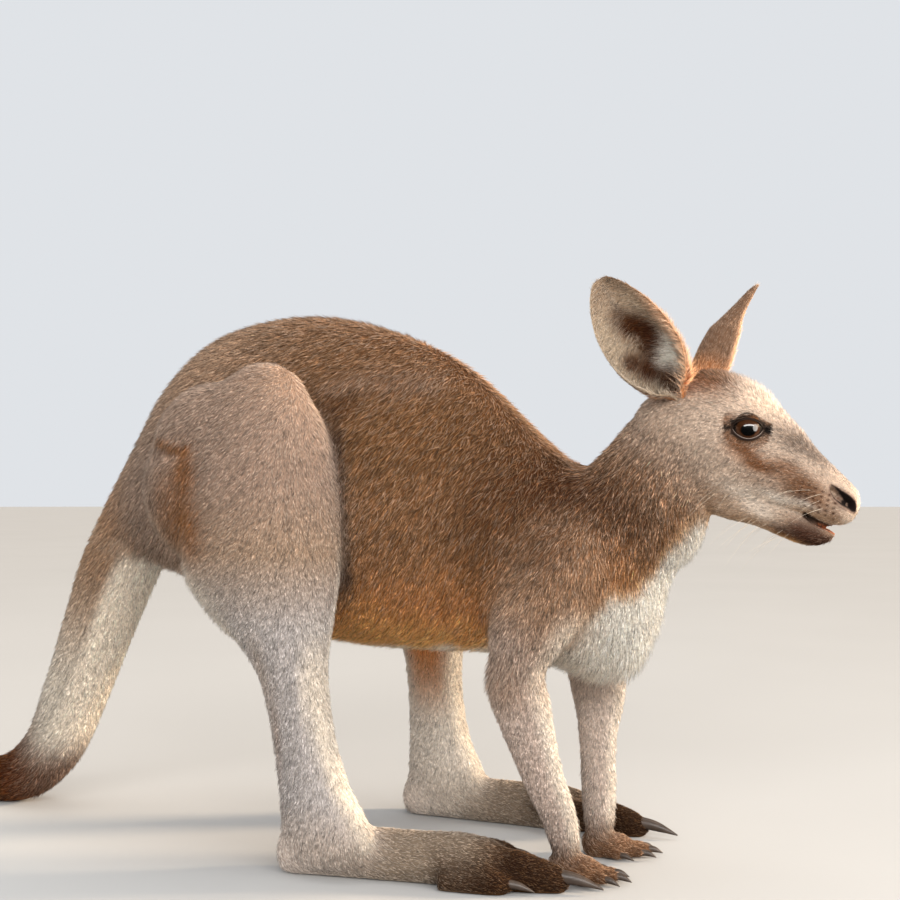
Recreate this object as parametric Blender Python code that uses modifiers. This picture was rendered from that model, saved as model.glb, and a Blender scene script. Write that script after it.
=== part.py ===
"""A young eastern grey kangaroo, life size, still, standing on its four feet and its tail.

Units are metres, +Z is up and the animal faces +X, so its left side is +Y. Every solid
reaches out to the tips of the coat. Each named part of the body is a loft of its own,
cut back from the part that it grows from, so that two parts meet with a thin gap.
The pose is laid out round a point on the floor between the two heels. The last step
moves the whole animal so that its box is centred on the origin.
"""

import math

import bmesh
import bpy
import numpy as np
from mathutils import Matrix, Vector

SEAM = 0.0003  # gap between two parts that meet
WELD = 0.00002  # points closer than this become one
FLOOR = 0.0
SIDE_NAMES = {-1: "right", 1: "left"}

# Points round a section, and sections along a loft, for each kind of part.
TRUNK_MESH = (20, 18)
NECK_MESH = (14, 6)
HEAD_MESH = (18, 14)
JAW_MESH = (10, 6)
TAIL_MESH = (12, 5)
THIGH_MESH = (14, 8)
SHANK_MESH = (12, 13)
FOOT_MESH = (12, 7)
TOE_MESH = (8, 4)
ARM_MESH = (10, 6)
PAW_MESH = (8, 4)
FINGER_MESH = (5, 3)
CLAW_MESH = (5, 4)
EYE_MESH = (12, 7)
EAR_MESH = (8, 10)

# Trunk, in upright slices: place along X, belly, back, then half widths low, middle, high.
TRUNK = (
    (-0.279, 0.300, 0.325, 0.010, 0.012, 0.010),
    (-0.262, 0.272, 0.356, 0.027, 0.031, 0.021),
    (-0.233, 0.260, 0.402, 0.045, 0.049, 0.033),
    (-0.192, 0.250, 0.456, 0.064, 0.068, 0.047),
    (-0.142, 0.235, 0.492, 0.082, 0.086, 0.059),
    (-0.080, 0.212, 0.507, 0.097, 0.099, 0.063),
    (-0.020, 0.192, 0.507, 0.107, 0.104, 0.062),
    (0.040, 0.186, 0.493, 0.108, 0.104, 0.058),
    (0.095, 0.185, 0.470, 0.100, 0.097, 0.054),
    (0.140, 0.185, 0.439, 0.088, 0.088, 0.052),
    (0.180, 0.182, 0.400, 0.078, 0.082, 0.056),
    (0.215, 0.175, 0.368, 0.068, 0.076, 0.060),
    (0.251, 0.168, 0.350, 0.052, 0.066, 0.055),
    (0.279, 0.175, 0.332, 0.034, 0.053, 0.045),
    (0.297, 0.205, 0.312, 0.020, 0.036, 0.030),
    (0.312, 0.249, 0.285, 0.007, 0.012, 0.010),
)

# Neck, across its own axis: centre x and z, half width, half depth.
NECK = (
    (0.205, 0.262, 0.066, 0.070),
    (0.246, 0.288, 0.062, 0.069),
    (0.279, 0.311, 0.053, 0.063),
    (0.302, 0.340, 0.046, 0.057),
    (0.323, 0.368, 0.042, 0.053),
    (0.345, 0.385, 0.034, 0.040),
)

# Head, in slices across its own axis: place along it, lower edge, upper edge, half widths
# at the jaw, cheek and brow.
HEAD_PIVOT = (0.320, 0.0, 0.370)
HEAD_DOWN = math.radians(27)
HEAD_TURN = math.radians(5)  # towards the right side
HEAD = (
    (-0.044, 0.002, 0.028, 0.010, 0.014, 0.010),
    (-0.030, -0.025, 0.050, 0.030, 0.037, 0.028),
    (-0.008, -0.040, 0.072, 0.036, 0.044, 0.034),
    (0.020, -0.043, 0.0785, 0.034, 0.047, 0.037),
    (0.045, -0.040, 0.0770, 0.030, 0.046, 0.039),
    (0.065, -0.034, 0.0700, 0.027, 0.041, 0.034),
    (0.085, -0.023, 0.0620, 0.024, 0.034, 0.027),
    (0.105, -0.012, 0.0530, 0.022, 0.029, 0.022),
    (0.125, -0.0045, 0.0460, 0.020, 0.026, 0.0195),
    (0.140, -0.002, 0.0410, 0.019, 0.0233, 0.0182),
    (0.151, 0.002, 0.0355, 0.016, 0.0192, 0.0158),
    (0.1575, 0.0095, 0.0267, 0.006, 0.009, 0.007),
)
JAW = (
    (0.030, -0.036, -0.006, 0.020, 0.025, 0.022),
    (0.060, -0.0370, -0.005, 0.021, 0.025, 0.022),
    (0.090, -0.0300, -0.0065, 0.018, 0.022, 0.020),
    (0.112, -0.0285, -0.0065, 0.016, 0.019, 0.017),
    (0.130, -0.0265, -0.0060, 0.0135, 0.016, 0.014),
    (0.142, -0.0210, -0.0065, 0.010, 0.013, 0.0115),
    (0.150, -0.0140, -0.0090, 0.003, 0.004, 0.003),
)
EYE_PLACE = (0.053, 0.0300, 0.044)  # along the head, out to the side, up
EYE_RADIUS = 0.0135

# Ears: base and tip, the way the open side faces, half the width, how far its base bends
# forward, and the share by which its tip is narrower. Each is a leaf rolled into a cup, by
# these angles either side of its middle line.
EAR_THICKNESS = 0.0030
EAR_ROLL_AT_TIP = 60
EAR_ROLL_AT_BASE = 140
EAR_END = 0.985  # the tip is rounded off this far along
EAR_SET_BACK = 0.55  # how far the middle line lies behind the edges, in half widths
EARS = {
    "ear_right": {
        "base": (0.321, -0.036, 0.410),
        "tip": (0.2665, -0.064, 0.5125),
        "facing": (0.20, -0.97, -0.05),
        "half_width": 0.0305,
        "base_bend": 0.007,
        "narrowing": 0.0,
    },
    "ear_left": {
        "base": (0.328, 0.026, 0.422),
        "tip": (0.3815, 0.068, 0.521),
        "facing": (0.88, 0.36, -0.30),
        "half_width": 0.0270,
        "base_bend": 0.0,
        "narrowing": 0.5,
    },
}

# Tail: centre x and z, half width, half height. It reaches the floor and lies along it.
TAIL = (
    (-0.190, 0.368, 0.046, 0.050),
    (-0.231, 0.322, 0.042, 0.046),
    (-0.268, 0.258, 0.040, 0.043),
    (-0.297, 0.190, 0.037, 0.039),
    (-0.324, 0.123, 0.034, 0.036),
    (-0.354, 0.062, 0.031, 0.033),
    (-0.400, 0.026, 0.028, 0.029),
    (-0.465, 0.017, 0.024, 0.023),
    (-0.535, 0.013, 0.020, 0.018),
    (-0.605, 0.010, 0.015, 0.014),
    (-0.660, 0.007, 0.009, 0.009),
    (-0.678, 0.006, 0.003, 0.003),
)
TAIL_PARTS = ("tail_base", "tail_upper", "tail_middle", "tail_tip")

# Hind leg. Thigh across the thigh bone: centre x, outward, z, half width, half height.
THIGH = (
    (-0.176, 0.048, 0.345, 0.020, 0.030),
    (-0.152, 0.064, 0.342, 0.040, 0.060),
    (-0.118, 0.080, 0.343, 0.052, 0.080),
    (-0.078, 0.095, 0.357, 0.056, 0.084),
    (-0.040, 0.106, 0.376, 0.052, 0.070),
    (-0.008, 0.112, 0.394, 0.040, 0.046),
    (0.010, 0.113, 0.402, 0.020, 0.022),
)
# Shank in level slices: height, rear, front, half widths rear, middle, front, outward centre.
SHANK = (
    (0.449, -0.046, -0.012, 0.010, 0.014, 0.010, 0.112),
    (0.438, -0.066, 0.005, 0.020, 0.027, 0.022, 0.113),
    (0.412, -0.082, 0.024, 0.034, 0.041, 0.034, 0.115),
    (0.380, -0.092, 0.036, 0.040, 0.048, 0.040, 0.117),
    (0.340, -0.100, 0.044, 0.043, 0.052, 0.043, 0.117),
    (0.300, -0.106, 0.048, 0.042, 0.052, 0.043, 0.116),
    (0.268, -0.112, 0.047, 0.036, 0.048, 0.040, 0.114),
    (0.240, -0.098, 0.043, 0.030, 0.042, 0.036, 0.112),
    (0.215, -0.074, 0.038, 0.026, 0.036, 0.032, 0.110),
    (0.195, -0.052, 0.034, 0.023, 0.031, 0.029, 0.109),
    (0.172, -0.036, 0.032, 0.020, 0.027, 0.026, 0.108),
    (0.140, -0.026, 0.035, 0.018, 0.024, 0.023, 0.107),
    (0.105, -0.019, 0.043, 0.017, 0.022, 0.021, 0.107),
    (0.075, -0.014, 0.054, 0.018, 0.022, 0.022, 0.107),
    (0.050, -0.012, 0.070, 0.019, 0.024, 0.022, 0.107),
    (0.028, -0.011, 0.082, 0.019, 0.025, 0.020, 0.107),
    (0.010, -0.006, 0.066, 0.015, 0.020, 0.015, 0.107),
)
# Foot in upright slices along it from the heel: place, low, high, half widths.
FOOT = (
    (0.000, 0.008, 0.030, 0.006, 0.009, 0.006),
    (0.010, -0.004, 0.042, 0.018, 0.020, 0.014),
    (0.045, -0.004, 0.050, 0.021, 0.023, 0.017),
    (0.085, -0.004, 0.044, 0.020, 0.021, 0.015),
    (0.130, -0.004, 0.043, 0.020, 0.020, 0.015),
    (0.165, -0.004, 0.044, 0.022, 0.022, 0.016),
    (0.190, -0.004, 0.040, 0.022, 0.022, 0.015),
    (0.204, -0.001, 0.034, 0.014, 0.014, 0.009),
)
# Toes: how far out across the foot each lies, its slices as for the foot, and its claws:
# across the toe, where it starts and at what height, where its tip is, and its radius.
TOES = {
    "toe_big": {
        "across": 0.002,
        "rows": (
            (0.186, -0.0075, 0.036, 0.015, 0.014, 0.011),
            (0.212, -0.0075, 0.033, 0.016, 0.014, 0.011),
            (0.236, -0.0065, 0.027, 0.014, 0.012, 0.010),
            (0.250, -0.0045, 0.021, 0.010, 0.009, 0.007),
            (0.257, 0.003, 0.016, 0.004, 0.004, 0.003),
        ),
        "claws": ((0.0, 0.240, 0.0130, 0.286, 0.0045, 0.0060),),
    },
    "toe_outer": {
        "across": 0.019,
        "rows": (
            (0.150, -0.006, 0.024, 0.009, 0.009, 0.007),
            (0.175, -0.006, 0.024, 0.011, 0.010, 0.008),
            (0.200, -0.005, 0.020, 0.010, 0.009, 0.007),
            (0.213, 0.002, 0.013, 0.004, 0.004, 0.003),
        ),
        "claws": ((0.0, 0.204, 0.0085, 0.231, 0.0035, 0.0040),),
    },
    "toe_inner": {
        "across": -0.018,
        "rows": (
            (0.148, 0.016, 0.036, 0.006, 0.007, 0.006),
            (0.175, 0.015, 0.037, 0.008, 0.008, 0.007),
            (0.198, 0.014, 0.034, 0.008, 0.008, 0.007),
            (0.210, 0.017, 0.029, 0.003, 0.003, 0.003),
        ),
        "claws": (
            (-0.0036, 0.203, 0.0245, 0.226, 0.0200, 0.0026),
            (0.0036, 0.203, 0.0255, 0.226, 0.0215, 0.0026),
        ),
    },
}
# Where each hind foot stands: heel outward from the middle, its turn towards the middle,
# and how far the middle of the shank lies ahead of the line from knee to heel.
FEET = {
    -1: {"heel": (-0.014, 0.107), "toe_in": 8.0, "shin_ahead": 0.0},
    1: {"heel": (0.008, 0.117), "toe_in": 1.0, "shin_ahead": 0.023},
}
SHIN_AHEAD = ((0.03, 0.0), (0.10, 0.5), (0.17, 1.0), (0.22, 1.0), (0.31, 0.5), (0.40, 0.0))

# Forelegs: centre x, outward, z, half width, half depth. The left one steps ahead.
UPPER_ARMS = {
    -1: (
        (0.243, 0.040, 0.300, 0.020, 0.030),
        (0.232, 0.052, 0.278, 0.030, 0.044),
        (0.219, 0.062, 0.247, 0.032, 0.044),
        (0.205, 0.069, 0.215, 0.029, 0.037),
        (0.195, 0.072, 0.190, 0.024, 0.029),
        (0.190, 0.072, 0.174, 0.012, 0.014),
    ),
    1: (
        (0.246, 0.040, 0.300, 0.020, 0.030),
        (0.239, 0.052, 0.278, 0.030, 0.044),
        (0.231, 0.060, 0.247, 0.032, 0.044),
        (0.224, 0.065, 0.215, 0.029, 0.037),
        (0.218, 0.067, 0.190, 0.024, 0.029),
        (0.216, 0.067, 0.174, 0.012, 0.014),
    ),
}
FOREARMS = {
    -1: (
        (0.190, 0.072, 0.200, 0.018, 0.020),
        (0.194, 0.071, 0.172, 0.022, 0.0275),
        (0.1995, 0.066, 0.143, 0.0190, 0.0260),
        (0.2060, 0.060, 0.115, 0.0165, 0.0230),
        (0.2140, 0.052, 0.083, 0.0150, 0.0195),
        (0.2230, 0.042, 0.052, 0.0140, 0.0165),
        (0.229, 0.036, 0.016, 0.0130, 0.0130),
    ),
    1: (
        (0.218, 0.067, 0.200, 0.018, 0.022),
        (0.226, 0.066, 0.172, 0.022, 0.0290),
        (0.231, 0.063, 0.140, 0.0190, 0.0265),
        (0.231, 0.059, 0.110, 0.0160, 0.0205),
        (0.2325, 0.053, 0.076, 0.0145, 0.0180),
        (0.2350, 0.046, 0.045, 0.0140, 0.0165),
        (0.237, 0.041, 0.016, 0.0130, 0.0140),
    ),
}
# Forepaw: palm slices along its own axis, and each finger's start, length and spread.
PAW = (
    (-0.016, 0.006, 0.018, 0.004, 0.006, 0.004),
    (-0.008, -0.006, 0.026, 0.013, 0.013, 0.010),
    (0.008, -0.006, 0.024, 0.016, 0.015, 0.011),
    (0.024, -0.005, 0.018, 0.017, 0.016, 0.011),
    (0.032, 0.002, 0.013, 0.008, 0.008, 0.005),
)
PAW_TURN_OUT = {-1: math.radians(3), 1: math.radians(14)}
FINGERS = (
    # across the palm, start, length, splay in degrees, radius
    (-0.0120, 0.004, 0.020, -30, 0.0046),
    (-0.0078, 0.018, 0.023, -11, 0.0050),
    (0.0000, 0.022, 0.025, 0, 0.0052),
    (0.0078, 0.018, 0.023, 11, 0.0050),
    (0.0120, 0.006, 0.020, 26, 0.0046),
)
FINGER_CLAW_LENGTH = 0.015
FINGER_TAPER = ((0.0, 1.0, 1.1), (0.55, 1.0, 1.05), (0.87, 0.85, 0.85), (1.0, 0.35, 0.35))

# Claws: how far along from root to tip, and half width and half depth, in root radii.
CLAW_TAPER = ((-0.025, 1.0, 1.0), (0.5, 0.78, 0.85), (0.8, 0.42, 0.45), (1.0, 0.10, 0.10))
CLAW_ARCH = 0.35  # how far its middle rises over the straight line, in root radii
CLAW_CLEARANCE = 0.0012  # lowest point over the floor

COLOURS = {
    "coat_back": (0.33, 0.23, 0.16),
    "coat_limb": (0.50, 0.41, 0.33),
    "coat_dark": (0.13, 0.09, 0.065),
    "ear": (0.36, 0.27, 0.20),
    "eye": (0.02, 0.013, 0.010),
    "claw": (0.035, 0.028, 0.024),
}
ROUGHNESS = {"eye": 0.08, "claw": 0.35}
COAT_ROUGHNESS = 0.85


# ---------------------------------------------------------------- scene and materials


def clear_scene():
    for obj in list(bpy.data.objects):
        bpy.data.objects.remove(obj)
    for collection in list(bpy.data.collections):
        bpy.data.collections.remove(collection)


def make_collections():
    for name in ("kangaroo", "cutters"):
        bpy.context.scene.collection.children.link(bpy.data.collections.new(name))
    return bpy.data.collections["kangaroo"]


def material(name):
    found = bpy.data.materials.get(name)
    if found:
        return found
    made = bpy.data.materials.new(name)
    made.use_nodes = True
    shader = made.node_tree.nodes["Principled BSDF"]
    shader.inputs["Base Color"].default_value = (*COLOURS[name], 1.0)
    shader.inputs["Roughness"].default_value = ROUGHNESS.get(name, COAT_ROUGHNESS)
    shader.inputs["Metallic"].default_value = 0.0
    made.diffuse_color = (*COLOURS[name], 1.0)
    return made


# ---------------------------------------------------------------- lofts


def smooth_rows(rows, count):
    """The rows resampled evenly along a Catmull-Rom curve through them."""
    rows = np.array(rows, float)
    padded = np.vstack([2 * rows[0] - rows[1], rows, 2 * rows[-1] - rows[-2]])
    spans = len(rows) - 1
    along = np.linspace(0, spans, count)
    first = np.minimum(along.astype(int), spans - 1)
    t = (along - first)[:, None]
    a, b, c, d = (padded[first + step] for step in range(4))
    curve = 2 * b + (c - a) * t + (2 * a - 5 * b + 4 * c - d) * t**2
    return 0.5 * (curve + (3 * b - a - 3 * c + d) * t**3)


def oval(low, high, widths, points):
    """(across, height) round an oval from low to high, with half widths near its low edge,
    middle and high edge."""
    angle = np.linspace(0, 2 * math.pi, points, endpoint=False)
    share = (1 + np.cos(angle)) / 2
    lower, middle, upper = widths
    width = lower * (1 - share) * (1 - 2 * share)
    width += middle * 4 * share * (1 - share)
    width += upper * share * (2 * share - 1)
    across = width * np.sign(np.sin(angle)) * np.abs(np.sin(angle)) ** 0.85
    return across, low + (high - low) * share


def loft_object(name, rings, material_name, animal):
    """A closed mesh through rings of points, with a fan over each end."""
    rings = np.array(rings, float)
    count, points = rings.shape[:2]
    vertices = rings.reshape(-1, 3)
    ends = np.array([rings[0].mean(0), rings[-1].mean(0)])
    faces = []
    for row in range(count - 1):
        for k in range(points):
            a = row * points + k
            b = row * points + (k + 1) % points
            faces.append((a, b, b + points, a + points))
    first, last = len(vertices), len(vertices) + 1
    for k in range(points):
        after = (k + 1) % points
        faces.append((first, after, k))
        faces.append((last, (count - 1) * points + k, (count - 1) * points + after))
    mesh = bpy.data.meshes.new(name)
    mesh.from_pydata(np.vstack([vertices, ends]).tolist(), [], faces)
    return mesh_object(name, mesh, material_name, animal)


def body_part(name, rings, material_name, animal):
    """A loft, and the cutter for what meets it, made before it is cut itself."""
    made = loft_object(name, rings, material_name, animal)
    make_cutter(made)
    return made


def finish_mesh(mesh, material_name):
    """Welds the mesh, points its faces outwards and gives it its material."""
    work = bmesh.new()
    work.from_mesh(mesh)
    bmesh.ops.remove_doubles(work, verts=work.verts, dist=WELD)
    bmesh.ops.dissolve_degenerate(work, edges=work.edges, dist=WELD)
    bmesh.ops.recalc_face_normals(work, faces=work.faces)
    bmesh.ops.triangulate(work, faces=work.faces)
    work.to_mesh(mesh)
    work.free()
    mesh.materials.append(material(material_name))
    mesh.shade_smooth()


def mesh_object(name, mesh, material_name, animal):
    finish_mesh(mesh, material_name)
    made = bpy.data.objects.new(name, mesh)
    animal.objects.link(made)
    return made


def apply_modifiers(obj):
    """Puts the object's modifiers into its mesh."""
    graph = bpy.context.evaluated_depsgraph_get()
    mesh = bpy.data.meshes.new_from_object(obj.evaluated_get(graph))
    obj.modifiers.clear()
    obj.data = mesh


def upright_slices(rows, mesh_size, place=None, floor=None):
    """Rings from rows of (along, low, high, three half widths), in slices across X.
    place turns each ring's points into the animal's frame."""
    points, count = mesh_size
    rings = []
    for along, low, high, *widths in smooth_rows(rows, count):
        across, height = oval(low, high, widths, points)
        ring = np.stack([np.full(points, along), across, height], axis=1)
        ring = place(ring) if place else ring
        if floor is not None:
            ring[:, 2] = np.maximum(ring[:, 2], floor)
        rings.append(ring)
    return rings


def tube(rows, mesh_size, floor=None):
    """Rings across a curved axis, from rows of (x, y, z, half width, half depth)."""
    points, count = mesh_size
    rows = smooth_rows(rows, count)
    ahead = np.gradient(rows[:, :3], axis=0)
    ahead /= np.linalg.norm(ahead, axis=1)[:, None]
    angle = np.linspace(0, 2 * math.pi, points, endpoint=False)
    rings = []
    for (x, y, z, half_width, half_depth), axis in zip(rows, ahead, strict=True):
        side = np.array((0.0, 1.0, 0.0))
        side -= axis * axis[1]
        side /= np.linalg.norm(side)
        depth = np.cross(side, axis)
        ring = np.array((x, y, z)) + np.outer(half_width * np.cos(angle), side)
        ring += np.outer(half_depth * np.sin(angle), depth)
        if floor is not None:
            ring[:, 2] = np.maximum(ring[:, 2], floor)
        rings.append(ring)
    return rings


def on_side(rows, side):
    """Tube rows whose second value is outward, for the left (1) or right (-1) side."""
    return [(x, side * out, *rest) for x, out, *rest in rows]


# ---------------------------------------------------------------- cutting


def make_cutter(obj):
    """A hidden copy of obj, a seam larger all round, to cut other parts with."""
    work = bmesh.new()
    work.from_mesh(obj.data)
    places = [v.co + v.normal * SEAM * v.calc_shell_factor() for v in work.verts]
    for vertex, place in zip(work.verts, places, strict=True):
        vertex.co = place
    mesh = bpy.data.meshes.new(obj.name + "_cutter")
    work.to_mesh(mesh)
    work.free()
    made = bpy.data.objects.new(mesh.name, mesh)
    made.hide_render = True
    made.display_type = "WIRE"
    bpy.data.collections["cutters"].objects.link(made)


def keep_largest(mesh):
    """Removes every loose piece of the mesh but the one with the most faces."""
    work = bmesh.new()
    work.from_mesh(mesh)
    left = set(work.verts)
    pieces = []
    while left:
        piece = {left.pop()}
        edge = list(piece)
        while edge:
            near = {e.other_vert(v) for v in edge for e in v.link_edges}
            edge = list(near - piece)
            piece |= near
        left -= piece
        pieces.append(piece)
    pieces.sort(key=len)
    small = [v for piece in pieces[:-1] for v in piece]
    bmesh.ops.delete(work, geom=small, context="VERTS")
    work.to_mesh(mesh)
    work.free()


def boolean(obj, other, operation):
    """Applies one Boolean. EXACT loses whole toes here, and every mesh is closed."""
    step = obj.modifiers.new("boolean", "BOOLEAN")
    step.operation = operation
    step.solver = "MANIFOLD"
    step.object = other
    apply_modifiers(obj)


def cut_back(obj, *others):
    """Cuts the cutter of each of the others out of obj."""
    for other in others:
        boolean(obj, bpy.data.objects[other.name + "_cutter"], "DIFFERENCE")
        keep_largest(obj.data)


# ---------------------------------------------------------------- head


def head_matrix():
    """The head's own axes (along it, to its left, up) in the animal's frame."""
    turn = Matrix.Rotation(-HEAD_TURN, 4, "Z")
    nod = Matrix.Rotation(HEAD_DOWN, 4, "Y")
    return Matrix.Translation(HEAD_PIVOT) @ turn @ nod


def from_head(points):
    """Points in the head's own axes, in the animal's frame."""
    matrix = np.array(head_matrix())
    return np.asarray(points) @ matrix[:3, :3].T + matrix[:3, 3]


def make_head(animal):
    head = body_part("head", upright_slices(HEAD, HEAD_MESH, from_head), "coat_limb", animal)
    along, out, up = EYE_PLACE
    for side, side_name in SIDE_NAMES.items():
        place = from_head([(along, side * out, up)])[0]
        cut_back(head, make_eye("eye_" + side_name, Vector(place), animal))
    return head


def make_eye(name, place, animal):
    work = bmesh.new()
    across, down = EYE_MESH
    bmesh.ops.create_uvsphere(work, u_segments=across, v_segments=down, radius=EYE_RADIUS)
    bmesh.ops.translate(work, verts=work.verts, vec=place)
    mesh = bpy.data.meshes.new(name)
    work.to_mesh(mesh)
    work.free()
    made = mesh_object(name, mesh, "eye", animal)
    make_cutter(made)
    return made


def ear_half_width(t, ear):
    """Half the ear's width, from its base at t = 0 to its tip at t = 1."""
    swell = math.sin(math.pi * t**0.97) ** 0.56
    tip = max(0.0, (t - 0.5) / 0.5)
    widest = ear["half_width"] * (1 - ear["narrowing"] * tip * (2 - tip))
    return widest * max(0.34 * (1 - t) ** 1.5, swell * (1 - 0.08 * t))


def ear_sheet(ear):
    """Rows of points on the ear's inner face: a leaf rolled into a cup, deep and narrow
    at its base, open and thin at its tip."""
    base, tip = Vector(ear["base"]), Vector(ear["tip"])
    axis = (tip - base).normalized()
    facing = Vector(ear["facing"])
    front = (facing - axis * facing.dot(axis)).normalized()
    across = axis.cross(front)
    columns, rows = EAR_MESH
    points = []
    for t in np.linspace(0.0, EAR_END, rows):
        half = ear_half_width(t, ear)
        closing = (1 - t) ** 2.2
        roll = math.radians(EAR_ROLL_AT_TIP + (EAR_ROLL_AT_BASE - EAR_ROLL_AT_TIP) * closing)
        radius = half / math.sin(min(roll, math.radians(90)))
        for share in np.linspace(-1, 1, columns):
            spread = radius * math.sin(roll * share) + ear["base_bend"] * (1 - t) ** 2
            depth = radius * (1 - math.cos(roll * share)) - EAR_SET_BACK * half
            points.append(base.lerp(tip, t) + across * spread + front * depth)
    return points


def make_ear(name, ear, animal):
    """The ear's inner face with a thickness added behind it."""
    columns, rows = EAR_MESH
    faces = []
    for row in range(rows - 1):
        for c in range(columns - 1):
            a = row * columns + c
            faces.append((a, a + 1, a + columns + 1, a + columns))
    mesh = bpy.data.meshes.new(name)
    mesh.from_pydata(ear_sheet(ear), [], faces)
    made = bpy.data.objects.new(name, mesh)
    animal.objects.link(made)
    thicken = made.modifiers.new("thickness", "SOLIDIFY")
    thicken.thickness = EAR_THICKNESS
    thicken.offset = -1.0
    apply_modifiers(made)
    finish_mesh(made.data, "ear")
    return made


# ---------------------------------------------------------------- tail, legs, paws


def make_tail(animal):
    """The tail in lengths that meet end to end."""
    points, rows_each = TAIL_MESH
    rows = [(x, 0.0, z, wide, high) for x, z, wide, high in TAIL]
    rings = tube(rows, (points, rows_each * len(TAIL_PARTS) + 1), FLOOR)
    parts = []
    for k, name in enumerate(TAIL_PARTS):
        own = [ring.copy() for ring in rings[k * rows_each : (k + 1) * rows_each + 1]]
        if k:
            ahead = own[1].mean(0) - own[0].mean(0)
            own[0] = own[0] + ahead / np.linalg.norm(ahead) * SEAM
            own[0][:, 2] = np.maximum(own[0][:, 2], FLOOR)
        colour = "coat_dark" if name == TAIL_PARTS[-1] else "coat_back"
        parts.append(body_part(name, own, colour, animal))
    return parts


def shin_ahead(side, height):
    """How far the shank is moved ahead at this height."""
    return FEET[side]["shin_ahead"] * np.interp(height, *np.transpose(SHIN_AHEAD))


def shank_rings(side):
    points, count = SHANK_MESH
    ahead, wider = np.subtract(FEET[side]["heel"], FEET[-1]["heel"])
    rings = []
    for height, rear, front, *widths, out in smooth_rows(SHANK, count):
        across, along = oval(rear, front, widths, points)
        low = (1 - height / SHANK[0][0]) ** 0.5
        along = along + ahead * low + shin_ahead(side, height)
        out += wider * low
        ring = np.stack([along, side * out + across, np.full(points, height)], axis=1)
        rings.append(ring)
    return rings


def foot_matrix(side):
    """A hind foot's own axes (along it, outward, up) in the animal's frame."""
    stand = FEET[side]
    turn = Matrix.Rotation(-side * math.radians(stand["toe_in"]), 4, "Z")
    heel_x, outward = stand["heel"]
    place = Matrix.Translation((heel_x, side * outward, 0.0))
    return place @ turn @ Matrix.Diagonal((1, side, 1, 1))


def placed_by(matrix):
    rows = np.array(matrix)
    return lambda points: np.asarray(points) @ rows[:3, :3].T + rows[:3, 3]


def make_claw(name, start, tip, radius, animal):
    """A curved, tapered claw from start to tip."""
    start, tip = np.array(start), np.array(tip)
    rows = []
    for along, wide, deep in CLAW_TAPER:
        place = start + (tip - start) * along
        place[2] += CLAW_ARCH * radius * max(0.0, math.sin(math.pi * along))
        rows.append((*place, radius * wide, radius * deep))
    return loft_object(name, tube(rows, CLAW_MESH, CLAW_CLEARANCE), "claw", animal)


def make_toe(name, toe, side, foot, animal):
    place = placed_by(foot_matrix(side) @ Matrix.Translation((0, toe["across"], 0)))
    full_name = f"{name}_{SIDE_NAMES[side]}"
    rings = upright_slices(toe["rows"], TOE_MESH, place, FLOOR)
    made = body_part(full_name, rings, "coat_dark", animal)
    cut_back(made, foot)
    for number, (across, start, start_z, tip, tip_z, radius) in enumerate(toe["claws"], 1):
        ends = place([(start, across, start_z), (tip, across, tip_z)])
        claw_name = f"claw_{full_name}_{number}"
        claw = make_claw(claw_name, ends[0], ends[1], radius, animal)
        cut_back(claw, made)
    return made


def make_hind_leg(side, trunk, tail_base, animal):
    side_name = SIDE_NAMES[side]
    rings = tube(on_side(THIGH, side), THIGH_MESH)
    thigh = body_part("thigh_" + side_name, rings, "coat_limb", animal)
    cut_back(thigh, trunk, tail_base)
    shank = body_part("shank_" + side_name, shank_rings(side), "coat_limb", animal)
    cut_back(shank, trunk, thigh)
    rings = upright_slices(FOOT, FOOT_MESH, placed_by(foot_matrix(side)), FLOOR)
    foot = body_part("foot_" + side_name, rings, "coat_limb", animal)
    cut_back(shank, foot)
    toes = {}
    for name, toe in TOES.items():
        toes[name] = make_toe(name, toe, side, foot, animal)
    cut_back(toes["toe_outer"], toes["toe_big"])
    cut_back(toes["toe_inner"], toes["toe_big"])


def paw_matrix(side):
    x, out, _, _, _ = FOREARMS[side][-1]
    turn = Matrix.Rotation(side * PAW_TURN_OUT[side], 4, "Z")
    place = Matrix.Translation((x, side * out, 0.0))
    return place @ turn @ Matrix.Diagonal((1, side, 1, 1))


def union(obj, other):
    """Joins other into obj as one body, and removes it."""
    boolean(obj, other, "UNION")
    bpy.data.objects.remove(other)


def make_paw(side, forearm, animal):
    side_name = SIDE_NAMES[side]
    place = placed_by(paw_matrix(side))
    rings = upright_slices(PAW, PAW_MESH, place, FLOOR)
    paw = loft_object("paw_" + side_name, rings, "coat_dark", animal)
    claws = []
    for number, (across, start, length, splay, radius) in enumerate(FINGERS, 1):
        angle = math.radians(splay)
        ahead = np.array((math.cos(angle), math.sin(angle), 0.0))
        root = np.array((start, across, radius * 1.3))
        end = root + ahead * length
        rows = []
        for along, wide, deep in FINGER_TAPER:
            middle = place([root + ahead * length * along])[0]
            rows.append((*middle, radius * wide, radius * deep))
        finger = loft_object("finger", tube(rows, FINGER_MESH, FLOOR), "coat_dark", animal)
        union(paw, finger)
        tip = end + ahead * FINGER_CLAW_LENGTH - np.array((0, 0, radius * 0.9))
        ends = place([end - ahead * 0.006, tip])
        claw_name = f"claw_paw_{side_name}_{number}"
        claws.append(make_claw(claw_name, ends[0], ends[1], radius * 0.52, animal))
    make_cutter(paw)
    for claw in claws:
        cut_back(claw, paw)
    cut_back(paw, forearm)


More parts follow.
